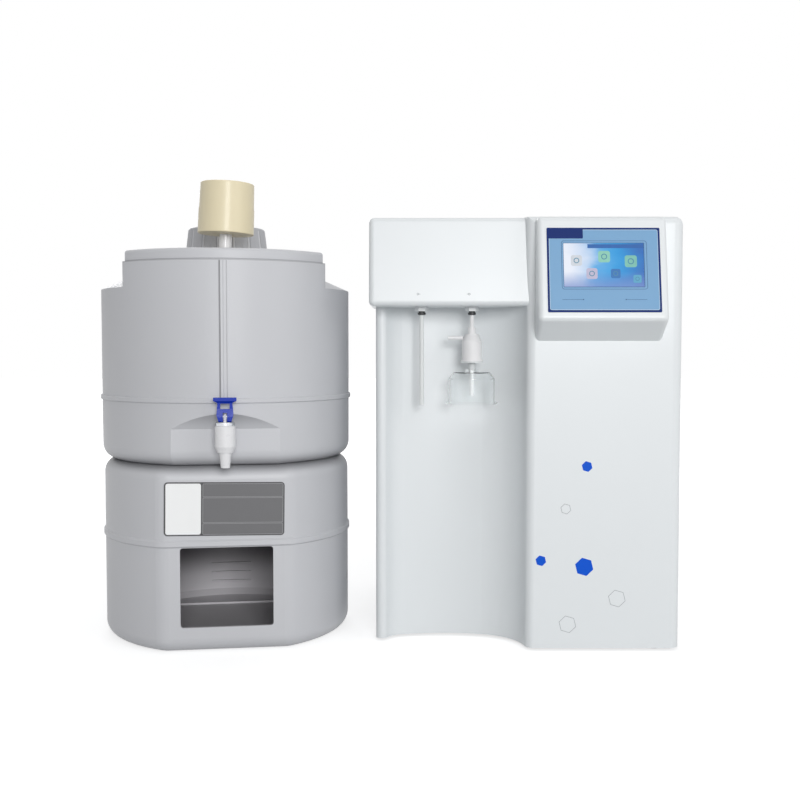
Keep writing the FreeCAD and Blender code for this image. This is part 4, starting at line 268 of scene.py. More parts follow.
def join_values(tree, operation, first, second, column, row):
    """One Math node on two values, each a socket or a plain number."""
    made = add_node(tree, "ShaderNodeMath", column, row, operation=operation)
    for socket, value in zip(made.inputs, (first, second)):
        if isinstance(value, float):
            socket.default_value = value
        else:
            tree.links.new(value, socket)
    return made.outputs[0]


def product(tree, first, second, column, row):
    return join_values(tree, "MULTIPLY", first, second, column, row)


def graded(tree, value, low, high, column, row):
    """0 below the low value and 1 above the high one, with a soft step between."""
    made = add_node(tree, "ShaderNodeMapRange", column, row, interpolation_type="SMOOTHSTEP")
    made.inputs["From Min"].default_value = low
    made.inputs["From Max"].default_value = high
    tree.links.new(value, made.inputs["Value"])
    return made.outputs["Result"]


def fading(tree, value, low, high, column, row):
    """1 below the low value and 0 above the high one."""
    return join_values(tree, "SUBTRACT", 1.0, graded(tree, value, low, high, column, row),
                       column + 1, row)


def distance_from(tree, value, middle, column, row):
    off = join_values(tree, "SUBTRACT", value, middle, column, row)
    return join_values(tree, "ABSOLUTE", off, 0.0, column + 1, row)


def mixed(tree, factor, first, second, column, row):
    """A colour between two. The first is a socket, and the second a socket or a colour."""
    made = add_node(tree, "ShaderNodeMix", column, row, data_type="RGBA")
    tree.links.new(factor, made.inputs["Factor"])
    tree.links.new(first, made.inputs["A"])
    if isinstance(second, tuple):
        made.inputs["B"].default_value = second
    else:
        tree.links.new(second, made.inputs["B"])
    return made.outputs["Result"]


def two_tones(tree, value, first, second, column, row, ends=(0.0, 1.0)):
    """Runs from one colour to another as a value goes from the first end to the second."""
    made = add_node(tree, "ShaderNodeValToRGB", column, row)
    for element, place, colour in zip(made.color_ramp.elements, ends, (first, second)):
        element.position = place
        element.color = colour
    tree.links.new(value, made.inputs["Fac"])
    return made.outputs["Color"]


def relief(tree, height, strength, distance, column, row, under=None, **settings):
    """A Bump node's normal. It may stand on another normal, the one under it."""
    made = add_node(tree, "ShaderNodeBump", column, row, **settings)
    made.inputs["Strength"].default_value = strength
    made.inputs["Distance"].default_value = distance
    tree.links.new(height, made.inputs["Height"])
    if under is not None:
        tree.links.new(under, made.inputs["Normal"])
    return made.outputs["Normal"]


# %% The moulded skin, shared by all plastics


def make_moulded_skin():
    group = bpy.data.node_groups.new("moulded_skin", "ShaderNodeTree")
    face = group.interface
    for name, kind, value in (("Color", "NodeSocketColor", (0.8, 0.8, 0.8, 1)),
                              ("Drift", "NodeSocketFloat", 0.04),
                              ("Drift Scale", "NodeSocketFloat", 6.0),
                              ("Roughness", "NodeSocketFloat", 0.4),
                              ("Grain Scale", "NodeSocketFloat", 900.0),
                              ("Grain Depth", "NodeSocketFloat", 0.1)):
        socket = face.new_socket(name, in_out="INPUT", socket_type=kind)
        socket.default_value = value
    face.new_socket("Color", in_out="OUTPUT", socket_type="NodeSocketColor")
    face.new_socket("Roughness", in_out="OUTPUT", socket_type="NodeSocketFloat")
    face.new_socket("Normal", in_out="OUTPUT", socket_type="NodeSocketVector")
    link = group.links.new
    given = add_node(group, "NodeGroupInput", 0, 3)
    where = object_place(group)

    broad = add_node(group, "ShaderNodeTexNoise", 1, 0)
    broad.inputs["Detail"].default_value = 3.0
    link(where, broad.inputs["Vector"])
    link(given.outputs["Drift Scale"], broad.inputs["Scale"])
    around = join_values(group, "SUBTRACT", broad.outputs["Fac"], 0.5, 2, 0)
    times = add_node(group, "ShaderNodeMath", 3, 0, operation="MULTIPLY_ADD")
    link(around, times.inputs[0])
    link(given.outputs["Drift"], times.inputs[1])
    times.inputs[2].default_value = 1.0
    shade = add_node(group, "ShaderNodeVectorMath", 4, 0, operation="SCALE")
    link(given.outputs["Color"], shade.inputs[0])
    link(times.outputs[0], shade.inputs["Scale"])

    fine = add_node(group, "ShaderNodeTexNoise", 1, 2)
    fine.inputs["Detail"].default_value = 2.0
    link(where, fine.inputs["Vector"])
    link(given.outputs["Grain Scale"], fine.inputs["Scale"])
    rough = add_node(group, "ShaderNodeMath", 4, 1, operation="MULTIPLY_ADD")
    link(around, rough.inputs[0])
    rough.inputs[1].default_value = 0.18
    link(given.outputs["Roughness"], rough.inputs[2])
    bump = add_node(group, "ShaderNodeBump", 4, 2)
    bump.inputs["Distance"].default_value = 0.0004
    link(fine.outputs["Fac"], bump.inputs["Height"])
    link(given.outputs["Grain Depth"], bump.inputs["Strength"])

    out = add_node(group, "NodeGroupOutput", 5, 1)
    link(shade.outputs["Vector"], out.inputs["Color"])
    link(rough.outputs[0], out.inputs["Roughness"])
    link(bump.outputs["Normal"], out.inputs["Normal"])
    return group


MOULDED_SKIN = make_moulded_skin()
print("made the group", MOULDED_SKIN.name)

# %% [markdown]
# Each finish below starts from an empty material with one Principled shader. Numbers that are
# the same all over a piece, such as the coat or the index of refraction, are set on the
# shader itself, and only what varies is linked in.

# %% A plastic material


def new_material(name):
    material = bpy.data.materials.new(name)
    material.use_nodes = True
    tree = material.node_tree
    shader = tree.nodes["Principled BSDF"]
    return material, tree, shader


def moulded_plastic(name, colour, roughness=0.4, drift=0.04, drift_scale=6.0,
                    grain_scale=900.0, grain_depth=0.1, coat=0.0, shine=0.5):
    material, tree, shader = new_material(name)
    skin = add_node(tree, "ShaderNodeGroup", -2, 0, node_tree=MOULDED_SKIN)
    skin.inputs["Color"].default_value = colour
    skin.inputs["Drift"].default_value = drift
    skin.inputs["Drift Scale"].default_value = drift_scale
    skin.inputs["Roughness"].default_value = roughness
    skin.inputs["Grain Scale"].default_value = grain_scale
    skin.inputs["Grain Depth"].default_value = grain_depth
    for given, taken in (("Color", "Base Color"), ("Roughness", "Roughness"),
                         ("Normal", "Normal")):
        tree.links.new(skin.outputs[given], shader.inputs[taken])
    shader.inputs["IOR"].default_value = 1.5
    shader.inputs["Specular IOR Level"].default_value = shine
    shader.inputs["Coat Weight"].default_value = coat
    shader.inputs["Coat Roughness"].default_value = 0.12
    return material


# %% [markdown]
# ## The tank's polyethylene
#
# The tank and its pedestal are rotationally moulded: powder melts onto the wall of a turning
# mould, so the skin has a soft, slightly pebbled grain and a satin shine. The hollow pedestal
# shows its inside through its window, so a few millimetres into its wall the material is painted
# with the hollow's shade: painted shade higher up, and painted light low down.
#
# A few fine forms are only in the materials, as bumps with painted shade and a painted highlight:
# three grooves in the strip up the tank's front and the line of the ledge under its top plate
# are darkened with painted shade, and a rib on each land between the cap's flutes is painted
# lighter as a painted highlight. The shade on the slope over the tap and in the joint between
# tank and pedestal is painted shade, colour alone.

# %% The tank's grey and places on the tank
TANK_GREY = tone(204, 205, 209)
SHADE_GREY = tone(96, 96, 100)


def plastic_parts(material):
    """The tree of a moulded plastic, its shader and its shared skin."""
    tree = material.node_tree
    skin = next(n for n in tree.nodes if n.type == "GROUP")
    return tree, tree.nodes["Principled BSDF"], skin.outputs


def tank_plastic(name):
    return moulded_plastic(name, TANK_GREY, 0.42, drift=0.06, drift_scale=5.0,
                           grain_scale=420.0, grain_depth=0.12)


def place_from(tree, middle, column, row):
    """The place on a piece, from an upright axis and in the tank's own directions."""
    own = add_node(tree, "ShaderNodeMapping", column, row, vector_type="TEXTURE")
    own.inputs["Location"].default_value = (middle.x, middle.y, 0)
    own.inputs["Rotation"].default_value = (0, 0, TANK_TURN)
    tree.links.new(object_place(tree, column - 1, row), own.inputs["Vector"])
    parts = add_node(tree, "ShaderNodeSeparateXYZ", column + 1, row)
    tree.links.new(own.outputs["Vector"], parts.inputs[0])
    return own.outputs["Vector"], parts.outputs


def radius_of(tree, place, column, row):
    """How far a place is from its upright axis."""
    flat = add_node(tree, "ShaderNodeVectorMath", column, row, operation="MULTIPLY")
    flat.inputs[1].default_value = (1, 1, 0)
    tree.links.new(place, flat.inputs[0])
    radius = add_node(tree, "ShaderNodeVectorMath", column + 1, row, operation="LENGTH")
    tree.links.new(flat.outputs[0], radius.inputs[0])
    return radius.outputs["Value"]


# %% The tank
PEDESTAL_RADIUS, PEDESTAL_FACE, PEDESTAL_TALL = 182.0, 159.0, 261.5
BAND_TOP, CROWN_TOP, TANK_RADIUS = 355.3, 543.3, 184.0
RECESS_FOOT, RECESS_TOP = 312.5, 334.5
FRONT_DEPTH, LEDGE_HALF, JOINT_SHADE_TALL = 100.0, 2.0, 16.0
# The ledge line's strength, then how dark the painted shade is: grooves and ledge, slope, foot.
LEDGE_DEPTH_AND_SHADE, GROOVE_SHADE_DARK, SHADE_DARK, FOOT_SHADE_DARK = 0.55, 0.62, 0.42, 1.3
# Each groove's place across the front, half its width, and how strong its bump and its
# painted shade are.
GROOVES = ((-6.4, 1.3, 1.0), (-1.6, 0.5, 0.35), (3.0, 0.6, 0.5))


def strip_grooves(tree, parts, front):
    """1 in the strip's grooves, which run up the front from the band to the crown."""
    above = join_values(tree, "GREATER_THAN", parts["Z"], BAND_TOP * MM, -8, 4)
    below = join_values(tree, "LESS_THAN", parts["Z"], (CROWN_TOP - LEDGE_HALF) * MM, -8, 5)
    strip = product(tree, front, product(tree, above, below, -7, 4), -6, 3)
    grooves = 0.0
    for row, (across, wide, deep) in enumerate(GROOVES, 6):
        off = distance_from(tree, parts["X"], across * MM, -8, row)
        near = fading(tree, off, 0.4 * wide * MM, wide * MM, -6, row)
        grooves = join_values(tree, "MAXIMUM", grooves, product(tree, near, deep, -4, row),
                              -3, row)
    return product(tree, grooves, strip, -2, 6)


def tank_shades(tree, place, parts, front):
    """The shade on the slope over the tap, and at the tank's foot above the pedestal."""
    radius = radius_of(tree, place, -10, 4)
    cut_in = join_values(tree, "LESS_THAN", radius, (TANK_RADIUS - 0.5) * MM, -8, 10)
    rising = graded(tree, parts["Z"], RECESS_FOOT * MM, RECESS_TOP * MM, -8, 11)
    ends = join_values(tree, "LESS_THAN", parts["Z"], (RECESS_TOP + 1) * MM, -8, 12)
    slope = product(tree, product(tree, front, cut_in, -6, 10),
                    product(tree, rising, ends, -6, 11), -4, 10)
    foot = fading(tree, parts["Z"], PEDESTAL_TALL * MM, (PEDESTAL_TALL + JOINT_SHADE_TALL) * MM,
                  -8, 13)
    return join_values(tree, "MAXIMUM", slope, product(tree, foot, FOOT_SHADE_DARK, -5, 13), -3, 12)


def tank_finish():
    material = tank_plastic("tank_polyethylene")
    tree, shader, skin = plastic_parts(material)
    place, parts = place_from(tree, TANK_AXIS, -11, 3)
    front = join_values(tree, "LESS_THAN", parts["Y"], -FRONT_DEPTH * MM, -8, 3)
    off = distance_from(tree, parts["Z"], CROWN_TOP * MM, -8, 9)
    ledge = fading(tree, off, 0.3 * LEDGE_HALF * MM, LEDGE_HALF * MM, -6, 9)
    carved_and_shaded = join_values(tree, "MAXIMUM", strip_grooves(tree, parts, front),
                         product(tree, ledge, LEDGE_DEPTH_AND_SHADE, -4, 9), -2, 7)
    shades = tank_shades(tree, place, parts, front)
    # Painted shade darkens the grooves, the ledge line, the slope over the tap and the foot.
    dark = join_values(tree, "MAXIMUM", product(tree, carved_and_shaded, GROOVE_SHADE_DARK, -1, 7),
                       product(tree, shades, SHADE_DARK, -1, 8), 0, 7)
    tree.links.new(mixed(tree, dark, skin["Color"], SHADE_GREY, -1, 0),
                   shader.inputs["Base Color"])
    tree.links.new(relief(tree, carved_and_shaded, 0.8, 0.0008, 0, 3, under=skin["Normal"], invert=True),
                   shader.inputs["Normal"])
    return material


# %% The pedestal
# Where the hollow's painted shade begins in the wall, and the painted shade at the head.
SKIN_DEEP, SKIN_CORNER, HEAD_SHADE_TALL, JOINT_SHADE_DARK = 3.5, 16.0, 14.0, 0.6
# The painted light low in the hollow fades into painted shade between these heights.
HOLLOW_LOW, HOLLOW_HIGH = 35.0, 85.0


def pedestal_finish():
    """The same grey outside, with painted shade along its head under the tank. A few millimetres
    into the wall it is painted as the hollow's shade, lighter low down as painted light.
    """
    material = tank_plastic("pedestal_polyethylene")
    tree, shader, skin = plastic_parts(material)
    place, parts = place_from(tree, TANK_AXIS, -9, 3)
    round_side = join_values(tree, "SUBTRACT", PEDESTAL_RADIUS * MM,
                             radius_of(tree, place, -8, 4), -6, 5)
    flat_side = join_values(tree, "ADD", parts["Y"], PEDESTAL_FACE * MM, -6, 4)
    side = join_values(tree, "MINIMUM", round_side, flat_side, -5, 4)
    head = join_values(tree, "SUBTRACT", PEDESTAL_TALL * MM, parts["Z"], -6, 3)
    end = join_values(tree, "MINIMUM", head, parts["Z"], -5, 3)
    wall = join_values(tree, "MINIMUM", side, end, -4, 3)
    corner = join_values(tree, "ADD", side, end, -4, 4)
    past_wall = join_values(tree, "GREATER_THAN", wall, SKIN_DEEP * MM, -3, 3)
    past_corner = join_values(tree, "GREATER_THAN", corner, SKIN_CORNER * MM, -3, 4)
    inside = product(tree, past_wall, past_corner, -2, 3)
    # Painted shade along the pedestal's head, where it meets the tank.
    joint_painted_shade = graded(tree, parts["Z"], (PEDESTAL_TALL - HEAD_SHADE_TALL) * MM,
                       PEDESTAL_TALL * MM, -4, 6)
    outside_with_joint_shade = mixed(tree, product(tree, joint_painted_shade, JOINT_SHADE_DARK, -3, 6), skin["Color"], SHADE_GREY,
                  -2, -1)
    # Inside the wall, painted light low in the hollow runs up into painted shade.
    rise = graded(tree, parts["Z"], HOLLOW_LOW * MM, HOLLOW_HIGH * MM, -3, 1)
    hollow_painted_light_and_shade = two_tones(tree, rise, tone(222, 220, 224), tone(126, 123, 128), -2, 1)
    tree.links.new(mixed(tree, inside, outside_with_joint_shade, hollow_painted_light_and_shade, -1, 0), shader.inputs["Base Color"])
    return material


# %% The cap and the vent
CAP_FLUTES, CAP_TOP_PLAIN = 16.0, 4.0
# Where each rib's bump and painted highlight start and peak, and how strong the highlight is.
RIB_FOOT, RIB_CREST, RIB_PAINTED_HIGHLIGHT = 0.72, 0.96, 0.35


def cap_finish():
    """The cap's grey, with a rib on each land between the flutes that the hand grips: a bump, and
    a painted highlight of lighter colour.
    """
    material = moulded_plastic("cap_plastic", tone(186, 187, 191), 0.45, drift=0.05,
                               grain_scale=700.0, grain_depth=0.15)
    tree, shader, skin = plastic_parts(material)
    _, parts = place_from(tree, middle_of("tank_cap"), -9, 3)
    angle = join_values(tree, "ARCTAN2", parts["X"], parts["Y"], -7, 3)
    turns = product(tree, angle, CAP_FLUTES, -6, 3)
    wave = join_values(tree, "COSINE", join_values(tree, "ADD", turns, math.pi, -6, 4), 0.0,
                       -5, 3)
    side = join_values(tree, "LESS_THAN", parts["Z"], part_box("tank_cap")[1].z
                       - CAP_TOP_PLAIN * MM, -4, 4)
    rib = product(tree, graded(tree, wave, RIB_FOOT, RIB_CREST, -4, 3), side, -3, 3)
    # The rib's crest is mixed towards a lighter grey, a painted highlight.
    tree.links.new(mixed(tree, product(tree, rib, RIB_PAINTED_HIGHLIGHT, -2, 3), skin["Color"],
                         tone(236, 237, 240), -1, 0), shader.inputs["Base Color"])
    tree.links.new(relief(tree, rib, 0.9, 0.0018, 0, 3, under=skin["Normal"]),
                   shader.inputs["Normal"])
    return material


TANK_SHELL = tank_finish()
PEDESTAL_SHELL = pedestal_finish()
CAP_PLASTIC = cap_finish()
VENT_CREAM = moulded_plastic("vent_cream", tone(236, 224, 190), 0.46, drift=0.02,
                             drift_scale=8.0, grain_scale=300.0, grain_depth=0.02, coat=0.15)
print("mixed the tank's, the pedestal's, the cap's and the vent's plastics")

# %% [markdown]
# ## Whites, blues and blacks of moulded parts
#
# The white unit is smooth and cool. The tap's lever is a deep, glossy blue. Small fittings are
# nylon or acetal, which is a little milky.

# %% Moulded parts
HOUSING_WHITE = moulded_plastic("housing_white", tone(233, 237, 239), 0.34, drift=0.02,
                                drift_scale=3.0, grain_scale=800.0, grain_depth=0.04)
TAP_BLUE = moulded_plastic("tap_blue", tone(10, 50, 172), 0.32, drift=0.10, drift_scale=60.0,
                           grain_scale=900.0, grain_depth=0.04, coat=0.1, shine=0.2)
TAP_WHITE = moulded_plastic("tap_white", tone(236, 236, 238), 0.28, drift=0.03,
                            drift_scale=40.0, grain_depth=0.04, coat=0.2)
FITTING_WHITE = moulded_plastic("fitting_white", tone(226, 229, 230), 0.30, drift=0.04,
                                drift_scale=50.0, grain_depth=0.05)
CARTRIDGE_WHITE = moulded_plastic("cartridge_white", tone(232, 232, 228), 0.36, drift=0.04,
                                  drift_scale=12.0)
COLLET_BLACK = moulded_plastic("collet_black", tone(34, 35, 37), 0.42, drift=0.15,
                               drift_scale=80.0)
SWITCH_BLACK = moulded_plastic("switch_black", tone(30, 31, 33), 0.26, drift=0.10,
                               drift_scale=40.0, coat=0.2)
SEAL_RUBBER = moulded_plastic("seal_rubber", tone(38, 38, 39), 0.75, drift=0.25,
                              drift_scale=60.0, grain_scale=1500.0, grain_depth=0.3)

# %% [markdown]
# ## Metals and painted sheet
#
# Sheet metal is rolled, which leaves fine lines in one direction. A noise that is stretched
# along one axis gives those lines, both in the roughness and in the bump. Powder coat has a
# close, even orange peel.

# %% Metals and paints


def brushed_metal(name, colour, roughness, lines=(60.0, 60.0, 1800.0)):
    material, tree, shader = new_material(name)
    stretch = add_node(tree, "ShaderNodeMapping", -5, 1)
    stretch.inputs["Scale"].default_value = lines
    tree.links.new(object_place(tree, -6, 1), stretch.inputs["Vector"])
    streak = noise(tree, stretch.outputs["Vector"], 1.0, 4.0, -4, 1)
    tree.links.new(spread(tree, streak, roughness * 0.8, roughness * 1.25, -2, 1),
                   shader.inputs["Roughness"])
    dimmer = (*(0.86 * c for c in colour[:3]), 1)
    tree.links.new(two_tones(tree, streak, dimmer, colour, -2, 0, ends=(0.3, 0.7)),
                   shader.inputs["Base Color"])
    tree.links.new(relief(tree, streak, 0.15, 0.0001, -2, 2), shader.inputs["Normal"])
    shader.inputs["Metallic"].default_value = 1.0
    return material


STEEL = brushed_metal("bright_steel", tone(206, 208, 212), 0.22)
ZINC = brushed_metal("zinc_sheet", tone(192, 195, 199), 0.38, lines=(500.0, 40.0, 40.0))
COVER_WHITE = moulded_plastic("cover_powder_coat", tone(232, 235, 237), 0.42, drift=0.02,
                              drift_scale=3.0, grain_scale=1300.0, grain_depth=0.16)
BLACK_PAINT = moulded_plastic("black_paint", tone(36, 37, 38), 0.40, drift=0.12,
                              drift_scale=25.0, grain_scale=1100.0, grain_depth=0.15)

# %% [markdown]
# ## Clear and frosted plastic
#
# The bell over the filter's outlet is clear, so it shows only by the shine on its curves.
# The filter capsule and the dispensing tube are milky: light goes in, but no picture comes
# through.

# %% Clear plastics


def clear_plastic(name, colour, roughness, transmission, wave=0.0, ior=1.46):
    """Clear or milky plastic. Most of a lamp's light passes through it, so its shadow is faint."""
    material, tree, shader = new_material(name)
    path = add_node(tree, "ShaderNodeLightPath", -4, 4)
    passing = add_node(tree, "ShaderNodeMapRange", -2, 4)
    passing.inputs["To Min"].default_value = 1.0
    passing.inputs["To Max"].default_value = 1.0 - 0.7 * transmission
    tree.links.new(path.outputs["Is Shadow Ray"], passing.inputs["Value"])
    tree.links.new(passing.outputs["Result"], shader.inputs["Alpha"])
    ripple = noise(tree, object_place(tree, -6, 1), 90.0, 2.0, -4, 1)
    tree.links.new(relief(tree, ripple, wave, 0.001, -2, 2), shader.inputs["Normal"])
    tree.links.new(spread(tree, ripple, roughness * 0.8, roughness * 1.2, -2, 1),
                   shader.inputs["Roughness"])
    shader.inputs["Base Color"].default_value = colour
    shader.inputs["Transmission Weight"].default_value = transmission
    shader.inputs["IOR"].default_value = ior
    return material


CLEAR_PLASTIC = clear_plastic("clear_plastic", (0.99, 1.0, 1.0, 1), 0.03, 1.0, 0.03, 1.30)
TUBE_PLASTIC = clear_plastic("tube_plastic", tone(247, 250, 250), 0.40, 0.25)
FROSTED_PLASTIC = clear_plastic("frosted_plastic", tone(254, 254, 255), 0.45, 0.20)

# %% [markdown]
# ## Filter paper and circuit boards
#
# Both sit inside, and show only when a cover is off. The paper has fibres and the boards have
# a grid of copper tracks under green varnish.

# %% Paper and boards


def filter_paper():
    material, tree, shader = new_material("filter_paper")
    fibre = noise(tree, object_place(tree, -6, 1), 1400.0, 6.0, -4, 1)
    tree.links.new(two_tones(tree, fibre, tone(214, 212, 202), tone(242, 241, 234), -2, 0),
                   shader.inputs["Base Color"])
    tree.links.new(relief(tree, fibre, 0.4, 0.0003, -2, 2), shader.inputs["Normal"])
    shader.inputs["Roughness"].default_value = 0.9
    return material


def circuit_board():
    material, tree, shader = new_material("circuit_board")
    where = object_place(tree, -6, 1)
    tracks = add_node(tree, "ShaderNodeTexBrick", -4, 1)
    tracks.inputs["Scale"].default_value = 120.0
    tracks.inputs["Color1"].default_value = tone(16, 92, 48)
    tracks.inputs["Color2"].default_value = tone(20, 104, 56)
    tracks.inputs["Mortar"].default_value = tone(52, 140, 84)
    tracks.inputs["Mortar Size"].default_value = 0.03
    tree.links.new(where, tracks.inputs["Vector"])
    tree.links.new(tracks.outputs["Color"], shader.inputs["Base Color"])
    varnish = noise(tree, where, 300.0, 2.0, -4, 2)
    tree.links.new(spread(tree, varnish, 0.25, 0.4, -2, 2), shader.inputs["Roughness"])
    return material


FILTER_PAPER = filter_paper()
CIRCUIT_BOARD = circuit_board()
print("made", len(bpy.data.materials), "materials so far")

# %% [markdown]
# ## The printed film and the lit screen
#
# The film on the pod is dark blue at its rim. The screen behind it is lit, so its picture is
# light, not paint: it goes into the emission colour. A smooth run from near white through
# bright blue to a deeper blue, bent by a slow noise, makes a plain background of the usual
# kind.

# %% Film and screen
FILM_LOW, FILM_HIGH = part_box("display_overlay")
SCREEN_WIDTH, SCREEN_TALL = 108.5, 60.5
FILM_TALL, FILM_THICK, SCREEN_RISE = 117.0, 0.6, 35.0
FACE_RUN, FACE_RISE = 27.0, 139.0
POD_LEAN = math.atan2(FACE_RUN, FACE_RISE)
FILM_FOOT = Vector(((FILM_LOW.x + FILM_HIGH.x) / 2,
                    FILM_LOW.y + FILM_THICK * MM * math.cos(POD_LEAN), FILM_LOW.z))


def on_film(across, up):
    """A place on the pod's leaning face, from the middle of the film's foot."""
    return FILM_FOOT + MM * Vector((
        across,
        up * math.sin(POD_LEAN) - FILM_THICK * math.cos(POD_LEAN),
        up * math.cos(POD_LEAN) + FILM_THICK * math.sin(POD_LEAN)))


def screen_picture():
    material, tree, shader = new_material("screen_picture")
    low = on_film(-SCREEN_WIDTH / 2, SCREEN_RISE)
    high = on_film(SCREEN_WIDTH / 2, SCREEN_RISE + SCREEN_TALL)
    fit = add_node(tree, "ShaderNodeMapping", -7, 1)
    fit.inputs["Scale"].default_value = (1 / (high.x - low.x), 1, 1 / (high.z - low.z))
    fit.inputs["Location"].default_value = (-low.x / (high.x - low.x), 0,
                                            -low.z / (high.z - low.z))
    tree.links.new(object_place(tree, -8, 1), fit.inputs["Vector"])
    parts = add_node(tree, "ShaderNodeSeparateXYZ", -6, 1)
    tree.links.new(fit.outputs["Vector"], parts.inputs[0])
    cloud = noise(tree, fit.outputs["Vector"], 2.2, 3.0, -6, 2)
    shift = spread(tree, cloud, -0.10, 0.10, -5, 2)
    along = join_values(tree, "ADD", parts.outputs["X"], shift, -4, 1)
    ramp = add_node(tree, "ShaderNodeValToRGB", -3, 1)
    ramp.color_ramp.interpolation = "B_SPLINE"
    stops = ((0.0, (236, 238, 246)), (0.28, (196, 214, 238)), (0.44, (44, 160, 222)),
             (0.76, (30, 146, 214)), (1.0, (44, 96, 176)))
    elements = ramp.color_ramp.elements
    while len(elements) < len(stops):
        elements.new(0.5)
    for element, (place, colour) in zip(elements, stops):
        element.position = place
        element.color = tone(*colour)
    tree.links.new(along, ramp.inputs["Fac"])
    foot = add_node(tree, "ShaderNodeMapRange", -4, 3)
    foot.inputs["From Min"].default_value = 0.35
    foot.inputs["From Max"].default_value = -0.1
    tree.links.new(parts.outputs["Z"], foot.inputs["Value"])
    tree.links.new(mixed(tree, foot.outputs["Result"], ramp.outputs["Color"],
                         tone(112, 136, 196), -2, 1), shader.inputs["Emission Color"])
    shader.inputs["Emission Strength"].default_value = 1.0
    shader.inputs["Base Color"].default_value = tone(14, 18, 24)
    shader.inputs["Roughness"].default_value = 0.2
    shader.inputs["Specular IOR Level"].default_value = 0.3
    return material


def print_ink(name, colour, shine=0.3):
    """Screen printing ink: even, with the faint tooth of the mesh it was pressed through."""
    return moulded_plastic(name, colour, 0.4, drift=0.03, drift_scale=30.0,
                           grain_scale=2500.0, grain_depth=0.05, shine=shine)


SCREEN_PICTURE = screen_picture()
FILM_NAVY = print_ink("film_navy", tone(6, 40, 108), shine=0.15)
FILM_SKY = print_ink("film_sky", tone(122, 168, 208))
FILM_EDGE = print_ink("film_edge", tone(186, 212, 234))
FILM_LINE = print_ink("film_line", tone(62, 98, 142), shine=0.15)

# %% Every CAD node takes its finish
FINISH = {
    "tank_shell": TANK_SHELL, "cap_plastic": CAP_PLASTIC, "seal_rubber": SEAL_RUBBER,
    "vent_plastic": VENT_CREAM, "paper": FILTER_PAPER, "tap_blue": TAP_BLUE,
    "tap_white": TAP_WHITE, "steel": STEEL, "fitting_white": FITTING_WHITE,
    "collet_black": COLLET_BLACK, "housing_white": HOUSING_WHITE, "cover_white": COVER_WHITE,
    "zinc": ZINC, "board_green": CIRCUIT_BOARD, "overlay_film": FILM_NAVY,
    "screen_glass": SCREEN_PICTURE, "clear_plastic": CLEAR_PLASTIC,
    "frosted_plastic": FROSTED_PLASTIC, "cartridge_white": CARTRIDGE_WHITE,
    "black_metal": BLACK_PAINT, "switch_black": SWITCH_BLACK,
}
SPECIAL = {"pedestal": PEDESTAL_SHELL, "vent_stem": TAP_WHITE, "tap_body": TAP_WHITE,
           "dispense_spout": TUBE_PLASTIC}
for entry in frame["record"]["subparts"]:
    node = frame["nodes"][entry["node"]]
    finish = SPECIAL.get(node.name, FINISH[entry["material_slot"]])
    node.data.materials.clear()
    node.data.materials.append(finish)
print("finished", len(frame["nodes"]), "CAD nodes")

# %% [markdown]
# ## Hexagons on the column
#
# Six hexagons are printed on the front: three blue and three in outline, in two sizes. Each
# is modelled from a six-sided circle with slightly round corners and set in its place. The
# ink stands a tenth of a millimetre off the moulding.

# %% Hexagons
HEX_TURN = math.radians(-16)
HEX_BLUE = print_ink("hexagon_blue", tone(6, 88, 214), shine=0.15)
HEX_GREY = print_ink("hexagon_grey", tone(178, 181, 185))
INK_THICK, HEX_LINE = 0.1, 0.75
# Each hexagon's place across and up the column, and its radius.
BLUE_HEXAGONS = ((302.4, 259.1, 7.7), (239.1, 127.3, 7.7), (299.6, 118.7, 13.2))
GREY_HEXAGONS = ((273.3, 199.9, 7.6), (345.5, 74.1, 12.6), (276.8, 37.7, 12.6))


def hexagon(across, up, radius, outline):
    nothing_selected()
    bpy.ops.mesh.primitive_circle_add(vertices=6, radius=radius * MM, fill_type="NGON")
    bpy.ops.object.mode_set(mode="EDIT")
    bpy.ops.mesh.bevel(offset=0.05 * radius * MM, segments=3, affect="VERTICES")
    if outline:
        leave_rim(HEX_LINE)
    piece = thicken(INK_THICK)
    piece.rotation_euler = (0, 0, math.radians(-90) + HEX_TURN)
    place_in_mesh(piece)
    return stand(piece, in_unit(across, 0, up))


blue_ones = join_pieces([hexagon(*place, outline=False) for place in BLUE_HEXAGONS])
hand_over(blue_ones, "hexagons_blue", "housing", HEX_BLUE)
outline_ones = join_pieces([hexagon(*place, outline=True) for place in GREY_HEXAGONS])
hand_over(outline_ones, "hexagons_outline", "housing", HEX_GREY)
print("printed six hexagons")

# %% [markdown]
# ## The tap's closing spring
#
# The closing spring sits round the plunger's rod, between its collar and the bonnet. The
# frame's own spring is rigid, so a piece of the same form stands for it.

# %% Closing spring
nothing_selected()
spring = bpy.data.objects.new("closing_spring", frame["nodes"]["tap_spring"].data.copy())
bpy.context.collection.objects.link(spring)
hand_over(spring, "closing_spring", "housing", STEEL)
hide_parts("tap_spring")
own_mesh(spring)

# %% [markdown]
# ## Marks over the outlets
#
# A tiny mark is printed over each outlet, a little to its left: a ring with a dash beside it,
# on one side or the other. A ray cast at the head's front finds the face, which leans, so the
# marks lie flat on it.

